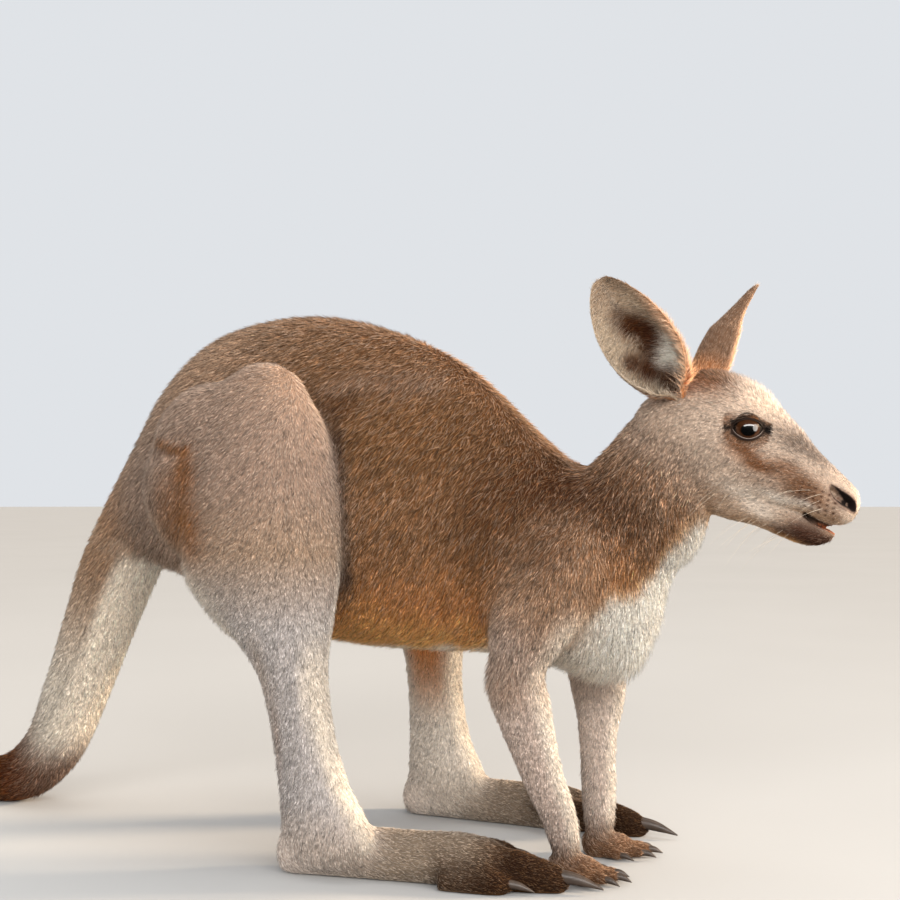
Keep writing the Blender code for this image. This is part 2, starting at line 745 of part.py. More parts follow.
def make_foreleg(side, trunk, neck, animal):
    side_name = SIDE_NAMES[side]
    rings = tube(on_side(UPPER_ARMS[side], side), ARM_MESH)
    upper = body_part("upper_arm_" + side_name, rings, "coat_limb", animal)
    cut_back(upper, trunk, neck)
    rings = tube(on_side(FOREARMS[side], side), ARM_MESH, FLOOR)
    forearm = body_part("forearm_" + side_name, rings, "coat_limb", animal)
    cut_back(forearm, trunk, upper)
    make_paw(side, forearm, animal)


# ---------------------------------------------------------------- whole animal


def remove_cutters():
    """Every cut is in its mesh by now."""
    cutters = bpy.data.collections["cutters"]
    for obj in list(cutters.objects):
        bpy.data.objects.remove(obj)
    bpy.data.collections.remove(cutters)


def centre_on_origin(animal):
    """Moves the animal so that its box is centred on the Z axis and stands on the floor."""
    points = []
    for obj in animal.objects:
        points += [tuple(v.co) for v in obj.data.vertices]
    low, high = np.min(points, axis=0), np.max(points, axis=0)
    middle = (low + high) / 2
    shift = Matrix.Translation((-middle[0], -middle[1], -low[2]))
    for obj in animal.objects:
        obj.data.transform(shift)


def main():
    clear_scene()
    animal = make_collections()
    trunk = body_part("trunk", upright_slices(TRUNK, TRUNK_MESH), "coat_back", animal)
    head = make_head(animal)
    rows = [(x, 0.0, z, wide, deep) for x, z, wide, deep in NECK]
    neck = body_part("neck", tube(rows, NECK_MESH), "coat_back", animal)
    cut_back(neck, trunk, head)
    jaw_rings = upright_slices(JAW, JAW_MESH, from_head)
    jaw = body_part("jaw", jaw_rings, "coat_dark", animal)
    cut_back(jaw, head, neck)
    for name, ear in EARS.items():
        cut_back(make_ear(name, ear, animal), head, neck)
    tail = make_tail(animal)
    cut_back(tail[0], trunk)
    for side in SIDE_NAMES:
        make_hind_leg(side, trunk, tail[0], animal)
        make_foreleg(side, trunk, neck, animal)
    remove_cutters()
    centre_on_origin(animal)


main()
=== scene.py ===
"""Looks for a young eastern grey kangaroo: one skin, a coat of solid tufts, eyes, ears and claws.

Units are metres, +Z is up and the animal faces +X, so its left side is +Y. The tables repeat
the CAD's own stations, in the animal's frame: the origin lies on the floor between the heels.
The skin is built from them at the depth of the coat inside the CAD solids, and everything is
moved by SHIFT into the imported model's frame at the end.
"""

import math

import bmesh
import bpy
import numpy as np
from mathutils import Matrix, Vector
from mathutils.bvhtree import BVHTree


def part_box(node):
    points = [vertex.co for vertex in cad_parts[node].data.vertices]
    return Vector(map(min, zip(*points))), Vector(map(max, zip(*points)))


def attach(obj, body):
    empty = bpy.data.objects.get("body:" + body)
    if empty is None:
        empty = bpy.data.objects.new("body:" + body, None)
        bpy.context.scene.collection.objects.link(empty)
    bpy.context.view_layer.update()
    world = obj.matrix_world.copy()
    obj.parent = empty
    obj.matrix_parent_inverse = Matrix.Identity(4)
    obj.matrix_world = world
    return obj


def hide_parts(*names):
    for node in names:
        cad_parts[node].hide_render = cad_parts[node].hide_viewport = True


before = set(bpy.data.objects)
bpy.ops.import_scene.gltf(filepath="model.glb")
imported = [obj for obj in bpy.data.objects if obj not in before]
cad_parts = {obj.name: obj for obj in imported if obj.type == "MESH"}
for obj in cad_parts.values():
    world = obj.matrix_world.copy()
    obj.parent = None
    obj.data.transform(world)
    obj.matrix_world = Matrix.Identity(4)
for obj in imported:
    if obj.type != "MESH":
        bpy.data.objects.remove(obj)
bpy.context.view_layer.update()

FLOOR = 0.0
SEED = 7
SIDE_NAMES = {-1: "right", 1: "left"}

# ---------------------------------------------------------------- the CAD's stations

# Trunk, in upright slices: place along X, belly, back, then half widths low, middle, high.
TRUNK = (
    (-0.279, 0.3, 0.325, 0.01, 0.012, 0.01),
    (-0.262, 0.272, 0.356, 0.027, 0.031, 0.021),
    (-0.233, 0.26, 0.402, 0.045, 0.049, 0.033),
    (-0.192, 0.25, 0.456, 0.064, 0.068, 0.047),
    (-0.142, 0.235, 0.492, 0.082, 0.086, 0.059),
    (-0.08, 0.212, 0.507, 0.097, 0.099, 0.063),
    (-0.02, 0.192, 0.507, 0.107, 0.104, 0.062),
    (0.04, 0.186, 0.493, 0.108, 0.104, 0.058),
    (0.095, 0.185, 0.47, 0.1, 0.097, 0.054),
    (0.14, 0.185, 0.439, 0.088, 0.088, 0.052),
    (0.18, 0.182, 0.4, 0.078, 0.082, 0.056),
    (0.215, 0.175, 0.368, 0.068, 0.076, 0.06),
    (0.251, 0.168, 0.35, 0.052, 0.066, 0.055),
    (0.279, 0.175, 0.332, 0.034, 0.053, 0.045),
    (0.297, 0.205, 0.312, 0.02, 0.036, 0.03),
    (0.312, 0.249, 0.285, 0.007, 0.012, 0.01),
)

# Neck, across its own axis: centre x and z, half width, half depth.
NECK = (
    (0.205, 0.262, 0.066, 0.07),
    (0.246, 0.288, 0.062, 0.069),
    (0.279, 0.311, 0.053, 0.063),
    (0.302, 0.34, 0.046, 0.057),
    (0.323, 0.368, 0.042, 0.053),
    (0.345, 0.385, 0.034, 0.04),
)

# Head, in slices across its own axis: place along it, lower edge, upper edge, half widths
# at the jaw, cheek and brow.
HEAD_PIVOT = (0.32, 0.0, 0.37)
HEAD_DOWN = math.radians(27)
HEAD_TURN = math.radians(5)  # towards the right side
HEAD = (
    (-0.044, 0.002, 0.028, 0.01, 0.014, 0.01),
    (-0.03, -0.025, 0.05, 0.03, 0.037, 0.028),
    (-0.008, -0.04, 0.072, 0.036, 0.044, 0.034),
    (0.02, -0.043, 0.0785, 0.034, 0.047, 0.037),
    (0.045, -0.04, 0.077, 0.03, 0.046, 0.039),
    (0.065, -0.034, 0.07, 0.027, 0.041, 0.034),
    (0.085, -0.023, 0.062, 0.024, 0.034, 0.027),
    (0.105, -0.012, 0.053, 0.022, 0.029, 0.022),
    (0.125, -0.0045, 0.046, 0.02, 0.026, 0.0195),
    (0.14, -0.002, 0.041, 0.019, 0.0233, 0.0182),
    (0.151, 0.002, 0.0355, 0.016, 0.0192, 0.0158),
    (0.1575, 0.0095, 0.0267, 0.006, 0.009, 0.007),
)
JAW = (
    (0.03, -0.036, -0.006, 0.02, 0.025, 0.022),
    (0.06, -0.037, -0.005, 0.021, 0.025, 0.022),
    (0.09, -0.03, -0.0065, 0.018, 0.022, 0.02),
    (0.112, -0.0285, -0.0065, 0.016, 0.019, 0.017),
    (0.13, -0.0265, -0.006, 0.0135, 0.016, 0.014),
    (0.142, -0.021, -0.0065, 0.01, 0.013, 0.0115),
    (0.15, -0.014, -0.009, 0.003, 0.004, 0.003),
)
EYE_PLACE = (0.053, 0.03, 0.044)  # along the head, out to the side, up
EYE_RADIUS = 0.0135

# Ears: base and tip, the way the open side faces, half the width, how far its base bends
# forward, and the share by which its tip is narrower. Each is a leaf rolled into a cup, by
# these angles either side of its middle line.
EAR_ROLL_AT_TIP = 60
EAR_ROLL_AT_BASE = 140
EAR_END = 0.985  # the tip is rounded off this far along
EAR_SET_BACK = 0.55  # how far the middle line lies behind the edges, in half widths
EARS = {
    "ear_right": {
        "base": (0.321, -0.036, 0.41),
        "tip": (0.2665, -0.064, 0.5125),
        "facing": (0.2, -0.97, -0.05),
        "half_width": 0.0305,
        "base_bend": 0.007,
        "narrowing": 0.0,
    },
    "ear_left": {
        "base": (0.328, 0.026, 0.422),
        "tip": (0.3815, 0.068, 0.521),
        "facing": (0.88, 0.36, -0.3),
        "half_width": 0.027,
        "base_bend": 0.0,
        "narrowing": 0.5,
    },
}

# Tail: centre x and z, half width, half height. It reaches the floor and lies along it.
TAIL = (
    (-0.19, 0.368, 0.046, 0.05),
    (-0.231, 0.322, 0.042, 0.046),
    (-0.268, 0.258, 0.04, 0.043),
    (-0.297, 0.19, 0.037, 0.039),
    (-0.324, 0.123, 0.034, 0.036),
    (-0.354, 0.062, 0.031, 0.033),
    (-0.4, 0.026, 0.028, 0.029),
    (-0.465, 0.017, 0.024, 0.023),
    (-0.535, 0.013, 0.02, 0.018),
    (-0.605, 0.01, 0.015, 0.014),
    (-0.66, 0.007, 0.009, 0.009),
    (-0.678, 0.006, 0.003, 0.003),
)

# Hind leg. Thigh across the thigh bone: centre x, outward, z, half width, half height.
THIGH = (
    (-0.176, 0.048, 0.345, 0.02, 0.03),
    (-0.152, 0.064, 0.342, 0.04, 0.06),
    (-0.118, 0.08, 0.343, 0.052, 0.08),
    (-0.078, 0.095, 0.357, 0.056, 0.084),
    (-0.04, 0.106, 0.376, 0.052, 0.07),
    (-0.008, 0.112, 0.394, 0.04, 0.046),
    (0.01, 0.113, 0.402, 0.02, 0.022),
)
# Shank in level slices: height, rear, front, half widths rear, middle, front, outward centre.
SHANK = (
    (0.449, -0.046, -0.012, 0.01, 0.014, 0.01, 0.112),
    (0.438, -0.066, 0.005, 0.02, 0.027, 0.022, 0.113),
    (0.412, -0.082, 0.024, 0.034, 0.041, 0.034, 0.115),
    (0.38, -0.092, 0.036, 0.04, 0.048, 0.04, 0.117),
    (0.34, -0.1, 0.044, 0.043, 0.052, 0.043, 0.117),
    (0.3, -0.106, 0.048, 0.042, 0.052, 0.043, 0.116),
    (0.268, -0.112, 0.047, 0.036, 0.048, 0.04, 0.114),
    (0.24, -0.098, 0.043, 0.03, 0.042, 0.036, 0.112),
    (0.215, -0.074, 0.038, 0.026, 0.036, 0.032, 0.11),
    (0.195, -0.052, 0.034, 0.023, 0.031, 0.029, 0.109),
    (0.172, -0.036, 0.032, 0.02, 0.027, 0.026, 0.108),
    (0.14, -0.026, 0.035, 0.018, 0.024, 0.023, 0.107),
    (0.105, -0.019, 0.043, 0.017, 0.022, 0.021, 0.107),
    (0.075, -0.014, 0.054, 0.018, 0.022, 0.022, 0.107),
    (0.05, -0.012, 0.07, 0.019, 0.024, 0.022, 0.107),
    (0.028, -0.011, 0.082, 0.019, 0.025, 0.02, 0.107),
    (0.01, -0.006, 0.066, 0.015, 0.02, 0.015, 0.107),
)
# Foot in upright slices along it from the heel: place, low, high, half widths.
FOOT = (
    (0.0, 0.008, 0.03, 0.006, 0.009, 0.006),
    (0.01, -0.004, 0.042, 0.018, 0.02, 0.014),
    (0.045, -0.004, 0.05, 0.021, 0.023, 0.017),
    (0.085, -0.004, 0.044, 0.02, 0.021, 0.015),
    (0.13, -0.004, 0.043, 0.02, 0.02, 0.015),
    (0.165, -0.004, 0.044, 0.022, 0.022, 0.016),
    (0.19, -0.004, 0.04, 0.022, 0.022, 0.015),
    (0.204, -0.001, 0.034, 0.014, 0.014, 0.009),
)
# Toes: how far out across the foot each lies, its slices as for the foot, and its claws:
# across the toe, where it starts and at what height, where its tip is, and its radius.
TOES = {
    "toe_big": {
        "across": 0.002,
        "rows": (
            (0.186, -0.0075, 0.036, 0.015, 0.014, 0.011),
            (0.212, -0.0075, 0.033, 0.016, 0.014, 0.011),
            (0.236, -0.0065, 0.027, 0.014, 0.012, 0.01),
            (0.25, -0.0045, 0.021, 0.01, 0.009, 0.007),
            (0.257, 0.003, 0.016, 0.004, 0.004, 0.003),
        ),
        "claws": ((0.0, 0.24, 0.013, 0.286, 0.0045, 0.006),),
    },
    "toe_outer": {
        "across": 0.019,
        "rows": (
            (0.15, -0.006, 0.024, 0.009, 0.009, 0.007),
            (0.175, -0.006, 0.024, 0.011, 0.01, 0.008),
            (0.2, -0.005, 0.02, 0.01, 0.009, 0.007),
            (0.213, 0.002, 0.013, 0.004, 0.004, 0.003),
        ),
        "claws": ((0.0, 0.204, 0.0085, 0.231, 0.0035, 0.004),),
    },
    "toe_inner": {
        "across": -0.018,
        "rows": (
            (0.148, 0.016, 0.036, 0.006, 0.007, 0.006),
            (0.175, 0.015, 0.037, 0.008, 0.008, 0.007),
            (0.198, 0.014, 0.034, 0.008, 0.008, 0.007),
            (0.21, 0.017, 0.029, 0.003, 0.003, 0.003),
        ),
        "claws": (
            (-0.0036, 0.203, 0.0245, 0.226, 0.02, 0.0026),
            (0.0036, 0.203, 0.0255, 0.226, 0.0215, 0.0026),
        ),
    },
}
# Where each hind foot stands: heel outward from the middle, its turn towards the middle,
# and how far the middle of the shank lies ahead of the line from knee to heel.
FEET = {
    -1: {"heel": (-0.014, 0.107), "toe_in": 8.0, "shin_ahead": 0.0},
    1: {"heel": (0.008, 0.117), "toe_in": 1.0, "shin_ahead": 0.023},
}
SHIN_AHEAD = ((0.03, 0.0), (0.1, 0.5), (0.17, 1.0), (0.22, 1.0), (0.31, 0.5), (0.4, 0.0))

# Upper arm: height, half width, half depth, then centre x and outward of the right one and
# the left one, which steps ahead.
UPPER_ARM = (
    (0.3, 0.02, 0.03, ((0.243, 0.04), (0.246, 0.04))),
    (0.278, 0.03, 0.044, ((0.232, 0.052), (0.239, 0.052))),
    (0.247, 0.032, 0.044, ((0.219, 0.062), (0.231, 0.06))),
    (0.215, 0.029, 0.037, ((0.205, 0.069), (0.224, 0.065))),
    (0.19, 0.024, 0.029, ((0.195, 0.072), (0.218, 0.067))),
    (0.174, 0.012, 0.014, ((0.19, 0.072), (0.216, 0.067))),
)
# Forearms: centre x, outward, z, half width, half depth.
FOREARMS = {
    -1: (
        (0.19, 0.072, 0.2, 0.018, 0.02),
        (0.194, 0.071, 0.172, 0.022, 0.0275),
        (0.1995, 0.066, 0.143, 0.019, 0.026),
        (0.206, 0.06, 0.115, 0.0165, 0.023),
        (0.214, 0.052, 0.083, 0.015, 0.0195),
        (0.223, 0.042, 0.052, 0.014, 0.0165),
        (0.229, 0.036, 0.016, 0.013, 0.013),
    ),
    1: (
        (0.218, 0.067, 0.2, 0.018, 0.022),
        (0.226, 0.066, 0.172, 0.022, 0.029),
        (0.231, 0.063, 0.14, 0.019, 0.0265),
        (0.231, 0.059, 0.11, 0.016, 0.0205),
        (0.2325, 0.053, 0.076, 0.0145, 0.018),
        (0.235, 0.046, 0.045, 0.014, 0.0165),
        (0.237, 0.041, 0.016, 0.013, 0.014),
    ),
}
# Forepaw: palm slices along its own axis, and each finger's start, length and spread.
PAW = (
    (-0.016, 0.006, 0.018, 0.004, 0.006, 0.004),
    (-0.008, -0.006, 0.026, 0.013, 0.013, 0.01),
    (0.008, -0.006, 0.024, 0.016, 0.015, 0.011),
    (0.024, -0.005, 0.018, 0.017, 0.016, 0.011),
    (0.032, 0.002, 0.013, 0.008, 0.008, 0.005),
)
PAW_TURN_OUT = {-1: math.radians(3), 1: math.radians(14)}
FINGERS = (
    # across the palm, start, length, splay in degrees, radius
    (-0.012, 0.004, 0.02, -30, 0.0046),
    (-0.0078, 0.018, 0.023, -11, 0.005),
    (0.0, 0.022, 0.025, 0, 0.0052),
    (0.0078, 0.018, 0.023, 11, 0.005),
    (0.012, 0.006, 0.02, 26, 0.0046),
)
FINGER_HEIGHT = 1.3  # of its middle over the floor, in radii
FINGER_COAT = 0.5  # depth of its coat, as a share of the palm's
FINGER_CLAW_LENGTH = 0.015
FINGER_CLAW_START = 0.8  # share of the finger at which its claw starts
FINGER_CLAW_DROP = 0.6  # of its tip below its root, in the finger's radii
FINGER_CLAW_RADIUS = 0.62  # in the finger's radii
FINGER_TAPER = ((0.0, 1.0, 1.1), (0.55, 1.0, 1.05), (0.87, 0.85, 0.85), (1.0, 0.35, 0.35))

# Claws: how far along from root to tip, and half width and half depth, in root radii.
CLAW_TAPER = ((-0.025, 1.0, 1.0), (0.5, 0.78, 0.85), (0.8, 0.42, 0.45), (1.0, 0.1, 0.1))
CLAW_ARCH = 0.35  # how far its middle rises over the straight line, in root radii
CLAW_CLEARANCE = 0.0012  # lowest point over the floor


# ---------------------------------------------------------------- sizes of skin and coat

# For each part: depth of the coat over the skin, then its tufts' length, width and spacing
# (how far apart their roots are), and how far they lift off the skin, in degrees.
COAT = {
    "trunk": (0.0042, 0.0112, 0.00085, 0.00168, 20),
    "neck": (0.004, 0.0092, 0.00078, 0.00142, 20),
    "head": (0.002, 0.0042, 0.00046, 0.00096, 16),
    "jaw": (0.0018, 0.004, 0.0005, 0.00103, 15),
    "tail": (0.0036, 0.0092, 0.00085, 0.00178, 16),
    "thigh": (0.0036, 0.0088, 0.0008, 0.00172, 16),
    "shank": (0.0028, 0.0073, 0.00075, 0.00162, 15),
    "foot": (0.0016, 0.0048, 0.0007, 0.0015, 12),
    "toe": (0.001, 0.0038, 0.0006, 0.0012, 13),
    "upper_arm": (0.0032, 0.0085, 0.00088, 0.00155, 18),
    "forearm": (0.0022, 0.006, 0.00072, 0.00138, 15),
    "paw": (0.001, 0.0038, 0.00058, 0.00112, 13),
}
DEPTH, LENGTH, WIDTH, SPACING, LIFT = range(5)
HEAD_KINDS = ("head", "jaw")

# Voxel size of each shell of skin. The finer ones hold the head, the feet and the paws.
VOXELS = {"body": 0.0032, "head": 0.0013, "foot": 0.0018, "paw": 0.0012}
# Where a fine shell meets the body's: the height at which they cross, and how far beyond
# it each runs on, sinking under the other.
CROSSINGS = {"neck": (0.315, 0.03), "shank": (0.095, 0.035), "forearm": (0.073, 0.028)}
DIVE = 0.004
ABOVE, WHOLE, BELOW = 1, 0, -1  # which side of its crossing a shell keeps
JAW_FILL = 0.008  # the jaw is raised by this much, to close the mouth before it is carved

RING_POINTS = 48
RING_STEP = 0.006
LEAST_RINGS = 8
# About how long each kind of part is: it is lofted in steps of RING_STEP.
LOFT_LENGTHS = {
    "trunk": 0.6, "neck": 0.2, "head": 0.3, "jaw": 0.2, "tail": 0.75, "thigh": 0.25,
    "shank": 0.45, "foot": 0.25, "toe": 0.1, "upper_arm": 0.2, "forearm": 0.2, "paw": 0.06,
}
TAIL_TIP_COAT = 0.35  # depth of the coat at the tail's tip, as a share of that at its root
ANKLE = (0.1, 0.2)  # from what height and how far up the foot's coat deepens to the shank's

# Where the skin's mesh is refined, to hold the lids and the mouth: radius and cuts.
EYE_ZONE = (0.02, 2)
MOUTH_ZONE = (0.03, 1)
MOUTH_PLACE = (0.138, 0.0, 0.008)  # in the head's axes

REACH = 0.05  # parts farther than this from a point of the skin don't count there
JOIN_ROUNDS = 30
JOIN_STEPS = (0.0, 0.012, 0.022)  # each run of smoothing is for joins wider than this
# How widely the skin blends where two kinds of part meet.
JOIN_RADII = {
    ("trunk", "neck"): 0.028,
    ("neck", "head"): 0.016,
    ("head", "jaw"): 0.005,
    ("neck", "jaw"): 0.01,
    ("trunk", "tail"): 0.024,
    ("tail", "thigh"): 0.006,
    ("trunk", "thigh"): 0.02,
    ("thigh", "shank"): 0.026,
    ("trunk", "shank"): 0.002,
    ("shank", "foot"): 0.01,
    ("foot", "toe"): 0.005,
    ("trunk", "upper_arm"): 0.018,
    ("neck", "upper_arm"): 0.018,
    ("upper_arm", "forearm"): 0.014,
    ("trunk", "forearm"): 0.006,
    ("forearm", "paw"): 0.006,
    ("paw", "paw"): 0.0025,
}

# Forms of the body, the same on both sides: where, how wide, and how far they rise.
BODY_FORMS = (
    ((0.19, 0.07, 0.325), (0.04, 0.045, 0.06), 0.0035),  # shoulder blade
    ((0.138, 0.09, 0.3), (0.018, 0.05, 0.07), -0.003),  # hollow behind it
    ((0.07, 0.08, 0.44), (0.055, 0.05, 0.011), 0.0035),  # last ribs, under the loin
    ((0.05, 0.095, 0.415), (0.06, 0.05, 0.016), -0.002),
    ((-0.118, 0.12, 0.366), (0.03, 0.05, 0.007), -0.0045),  # fold behind the thigh
    ((-0.15, 0.1, 0.395), (0.03, 0.05, 0.012), 0.002),
    ((-0.035, 0.15, 0.3), (0.045, 0.03, 0.05), 0.002),  # calf
)
# Tendons of the shank, as paths in the same way: the path, its width and its rise.
BODY_LINES = (
    (((-0.03, 0.13, 0.2), (-0.01, 0.131, 0.12), (0.006, 0.131, 0.045)), 0.005, -0.0022),
    (((-0.042, 0.118, 0.2), (-0.024, 0.122, 0.12), (-0.012, 0.124, 0.04)), 0.006, 0.0016),
    (((0.01, 0.13, 0.19), (0.018, 0.131, 0.12), (0.04, 0.131, 0.05)), 0.0055, 0.0014),
    (((0.024, 0.128, 0.14), (0.036, 0.13, 0.09), (0.062, 0.128, 0.055)), 0.004, -0.001),
)

HEAD_BACK = -0.06  # the forms of the head end this far along it
# The head's forms in its own axes, the same on both sides.
HEAD_FORMS = (
    ((0.048, 0.033, 0.063), (0.018, 0.009, 0.007), 0.002),  # brow
    ((0.045, 0.045, 0.018), (0.028, 0.012, 0.01), 0.0016),  # cheekbone
    ((0.083, 0.03, 0.039), (0.013, 0.012, 0.011), -0.0018),  # hollow before the eye
    ((0.09, 0.022, 0.056), (0.04, 0.006, 0.006), 0.001),  # edge of the nose's flat top
    ((0.129, 0.022, 0.009), (0.016, 0.011, 0.01), 0.0018),  # whisker pad
    ((0.084, 0.028, -0.006), (0.02, 0.012, 0.01), -0.0014),  # cheek behind the mouth
    ((0.146, 0.014, 0.0345), (0.01, 0.007, 0.005), 0.0013),  # over the nostril
    ((0.0, 0.042, -0.022), (0.02, 0.012, 0.014), 0.0016),  # corner of the jaw
)
# Grooves in the head: path, least and greatest radius, depth, whether it runs through.
NOSTRIL = (
    ((0.1345, 0.0205, 0.03), (0.141, 0.019, 0.0262), (0.147, 0.0165, 0.0245),
     (0.152, 0.012, 0.023), (0.1545, 0.007, 0.0195)),
    (0.0026, 0.0052), 0.0065, False,
)
MOUTH = (
    ((0.124, 0.0, -0.001), (0.13, 0.0, -0.002), (0.136, 0.0, -0.0026),
     (0.144, 0.0, -0.0022), (0.152, 0.0, -0.003), (0.166, 0.0, -0.0036)),
    (0.0007, 0.0024), 0.0075, True,
)
PHILTRUM = (
    ((0.157, 0.0, 0.0185), (0.158, 0.0, 0.011), (0.155, 0.0, 0.004)),
    (0.0008, 0.0012), 0.0012, False,
)

# Eyes: how each faces in the head's axes, the lids' tilt, and the opening between them.
EYE_OUTWARD = (0.37, 0.925, -0.06)
EYE_TILT = math.radians(19)
LID_HALF = 0.0128
UPPER_LID = 0.0084
LOWER_LID = 0.0072
LID_THICKNESS = 0.0013
LID_EDGE = (-0.0004, 0.0006)  # how far outside the opening the skin rises to the lid
LID_BLEND = (0.0022, 0.0095)  # how far outside it the lid runs into the head
# Folds in the lids: how far outside the opening, width, depth, and upper (1) or lower (-1).
LID_FOLDS = ((0.004, 0.001, 0.0008, 1), (0.0052, 0.0009, 0.0006, -1))
EYE_REACH = 0.03  # how far from an eye's centre its lids are looked for
LID_REACH = (54, 73)  # how far round the eyeball the lids are drawn over it, in degrees
SOCKET = 0.0035  # how far the skin sinks behind the front of the eyeball


# ---------------------------------------------------------------- markings and lie of the coat

# Colours of the coat, linear.
PALETTE = {
    "back": (0.315, 0.18, 0.101),
    "upper_flank": (0.305, 0.162, 0.074),
    "flank": (0.38, 0.21, 0.106),
    "low_flank": (0.681, 0.341, 0.139),
    # painted warm backlight, where light shines through the coat at the belly's edge and under the jaw
    "backlit_orange": (0.957, 0.552, 0.211),
    "glow": (0.86, 0.56, 0.32),
    # painted shade, for the dark of folds and creases
    "crease_shade": (0.06, 0.021, 0.007),
    "belly": (0.96, 0.88, 0.78),
    "rump": (0.535, 0.363, 0.245),
    "shoulder": (0.116, 0.041, 0.011),
    "nape": (0.503, 0.32, 0.196),
    "neck": (0.424, 0.259, 0.157),
    "throat_edge": (0.34, 0.165, 0.065),
    "chest": (0.98, 0.93, 0.85),
    "knee": (0.479, 0.349, 0.267),
    "thigh": (0.482, 0.362, 0.288),
    "thigh_patch": (0.393, 0.19, 0.079),
    "lower_thigh": (0.526, 0.397, 0.3),
    "shin": (0.612, 0.569, 0.549),
    "shin_front": (0.827, 0.748, 0.655),
    "hock": (0.649, 0.565, 0.504),
    "leg_inside": (0.912, 0.387, 0.091),
    "foot": (0.333, 0.271, 0.213),
    "toes": (0.065, 0.029, 0.009),
    "upper_arm": (0.467, 0.306, 0.2),
    "forearm": (0.689, 0.576, 0.509),
    "forearm_front": (0.865, 0.8, 0.708),
    "paw": (0.213, 0.122, 0.07),
    "tail": (0.496, 0.326, 0.207),
    "tail_middle": (0.81, 0.737, 0.641),
    "tail_pale": (0.96, 0.86, 0.74),
    "tail_low": (0.17, 0.055, 0.012),
    "tail_tip": (0.133, 0.084, 0.054),
    "cheek": (0.707, 0.58, 0.48),
    "forehead": (0.964, 0.791, 0.646),
    "crown": (0.29, 0.135, 0.055),
    "muzzle_top": (0.262, 0.2, 0.159),
    "muzzle": (0.326, 0.196, 0.12),
    "lip": (0.881, 0.732, 0.625),
    "stripe": (0.93, 0.88, 0.81),
    "eye_patch": (0.264, 0.124, 0.054),
    "lid": (0.022, 0.012, 0.008),
    "lid_warm": (0.2, 0.08, 0.025),
    "chin": (0.085, 0.024, 0.005),
    "jaw": (0.544, 0.385, 0.26),
    # painted shade inside the nostrils
    "nostril": (0.01, 0.006, 0.005),
    "nose_skin": (0.2, 0.13, 0.095),
    # painted backlight on the fuzzy front of the nose
    "nose_backlight": (0.84, 0.7, 0.57),
    # painted highlight on the edges of the nose's flat top
    "lit_ridge": (0.86, 0.68, 0.53),
    "mouth_edge": (0.055, 0.02, 0.008),
    # painted warm light on the lower lip's edge in front
    "mouth": (0.5, 0.13, 0.04),
    "ear_inside": (0.607, 0.501, 0.388),
    "ear_dark": (0.105, 0.036, 0.008),
    "ear_white": (1.0, 0.94, 0.85),
    # painted rim light along the ears' front edges
    "ear_rim": (0.9, 0.6, 0.4),
    "ear_back": (0.317, 0.204, 0.136),
    "ear_base": (0.796, 0.392, 0.179),
}

# The border between the brown side and the white belly and chest: place along X, height.
BORDER = (
    (-0.28, 0.3), (-0.2, 0.262), (-0.14, 0.238), (-0.09, 0.205), (0.026, 0.188),
    (0.165, 0.192),
    (0.2, 0.166), (0.214, 0.157), (0.222, 0.177), (0.232, 0.19), (0.244, 0.219),
    (0.256, 0.232), (0.272, 0.244), (0.29, 0.25), (0.303, 0.262), (0.315, 0.278),
    (0.328, 0.298), (0.34, 0.31), (0.35, 0.313), (0.42, 0.335),
)
BORDER_WANDER = 0.006  # how far up and down patches of the coat move it
CHEST_EDGE = (-0.008, 0.006)  # how far either side of it the chest's white fades out
# Painted shade in the fold of the flank along the front of the thigh: a dark line, seen from the side.
FLANK_FOLD = (
    (0.0185, 0.0, 0.416), (0.0307, 0.0, 0.379), (0.0388, 0.0, 0.334), (0.043, 0.0, 0.29),
    (0.0411, 0.0, 0.255), (0.0354, 0.0, 0.22),
)
# The crease behind the thigh, in the same way: a line of painted shade in it, in the rust colour of
# the patch.
THIGH_CREASE = ((-0.146, 0.0, 0.384), (-0.118, 0.0, 0.376), (-0.094, 0.0, 0.369), (-0.078, 0.0, 0.372))
# Colours of the hind leg by height.
LEG_HEIGHTS = (0.03, 0.07, 0.15, 0.215, 0.28, 0.34, 0.39, 0.44)
LEG_COLOURS = ("hock", "shin", "shin", "shin", "lower_thigh", "thigh", "thigh", "knee")

# The reddish patch behind the thigh and the shank: colour, centre, radii, strength.
THIGH_PATCHES = (
    ("thigh_patch", (-0.094, 0.14, 0.295), (0.027, 0.06, 0.03), 1.0),
    ("thigh_patch", (-0.116, 0.14, 0.31), (0.03, 0.06, 0.04), 0.5),
    ("thigh_patch", (-0.091, 0.14, 0.35), (0.014, 0.06, 0.02), 0.8),
)
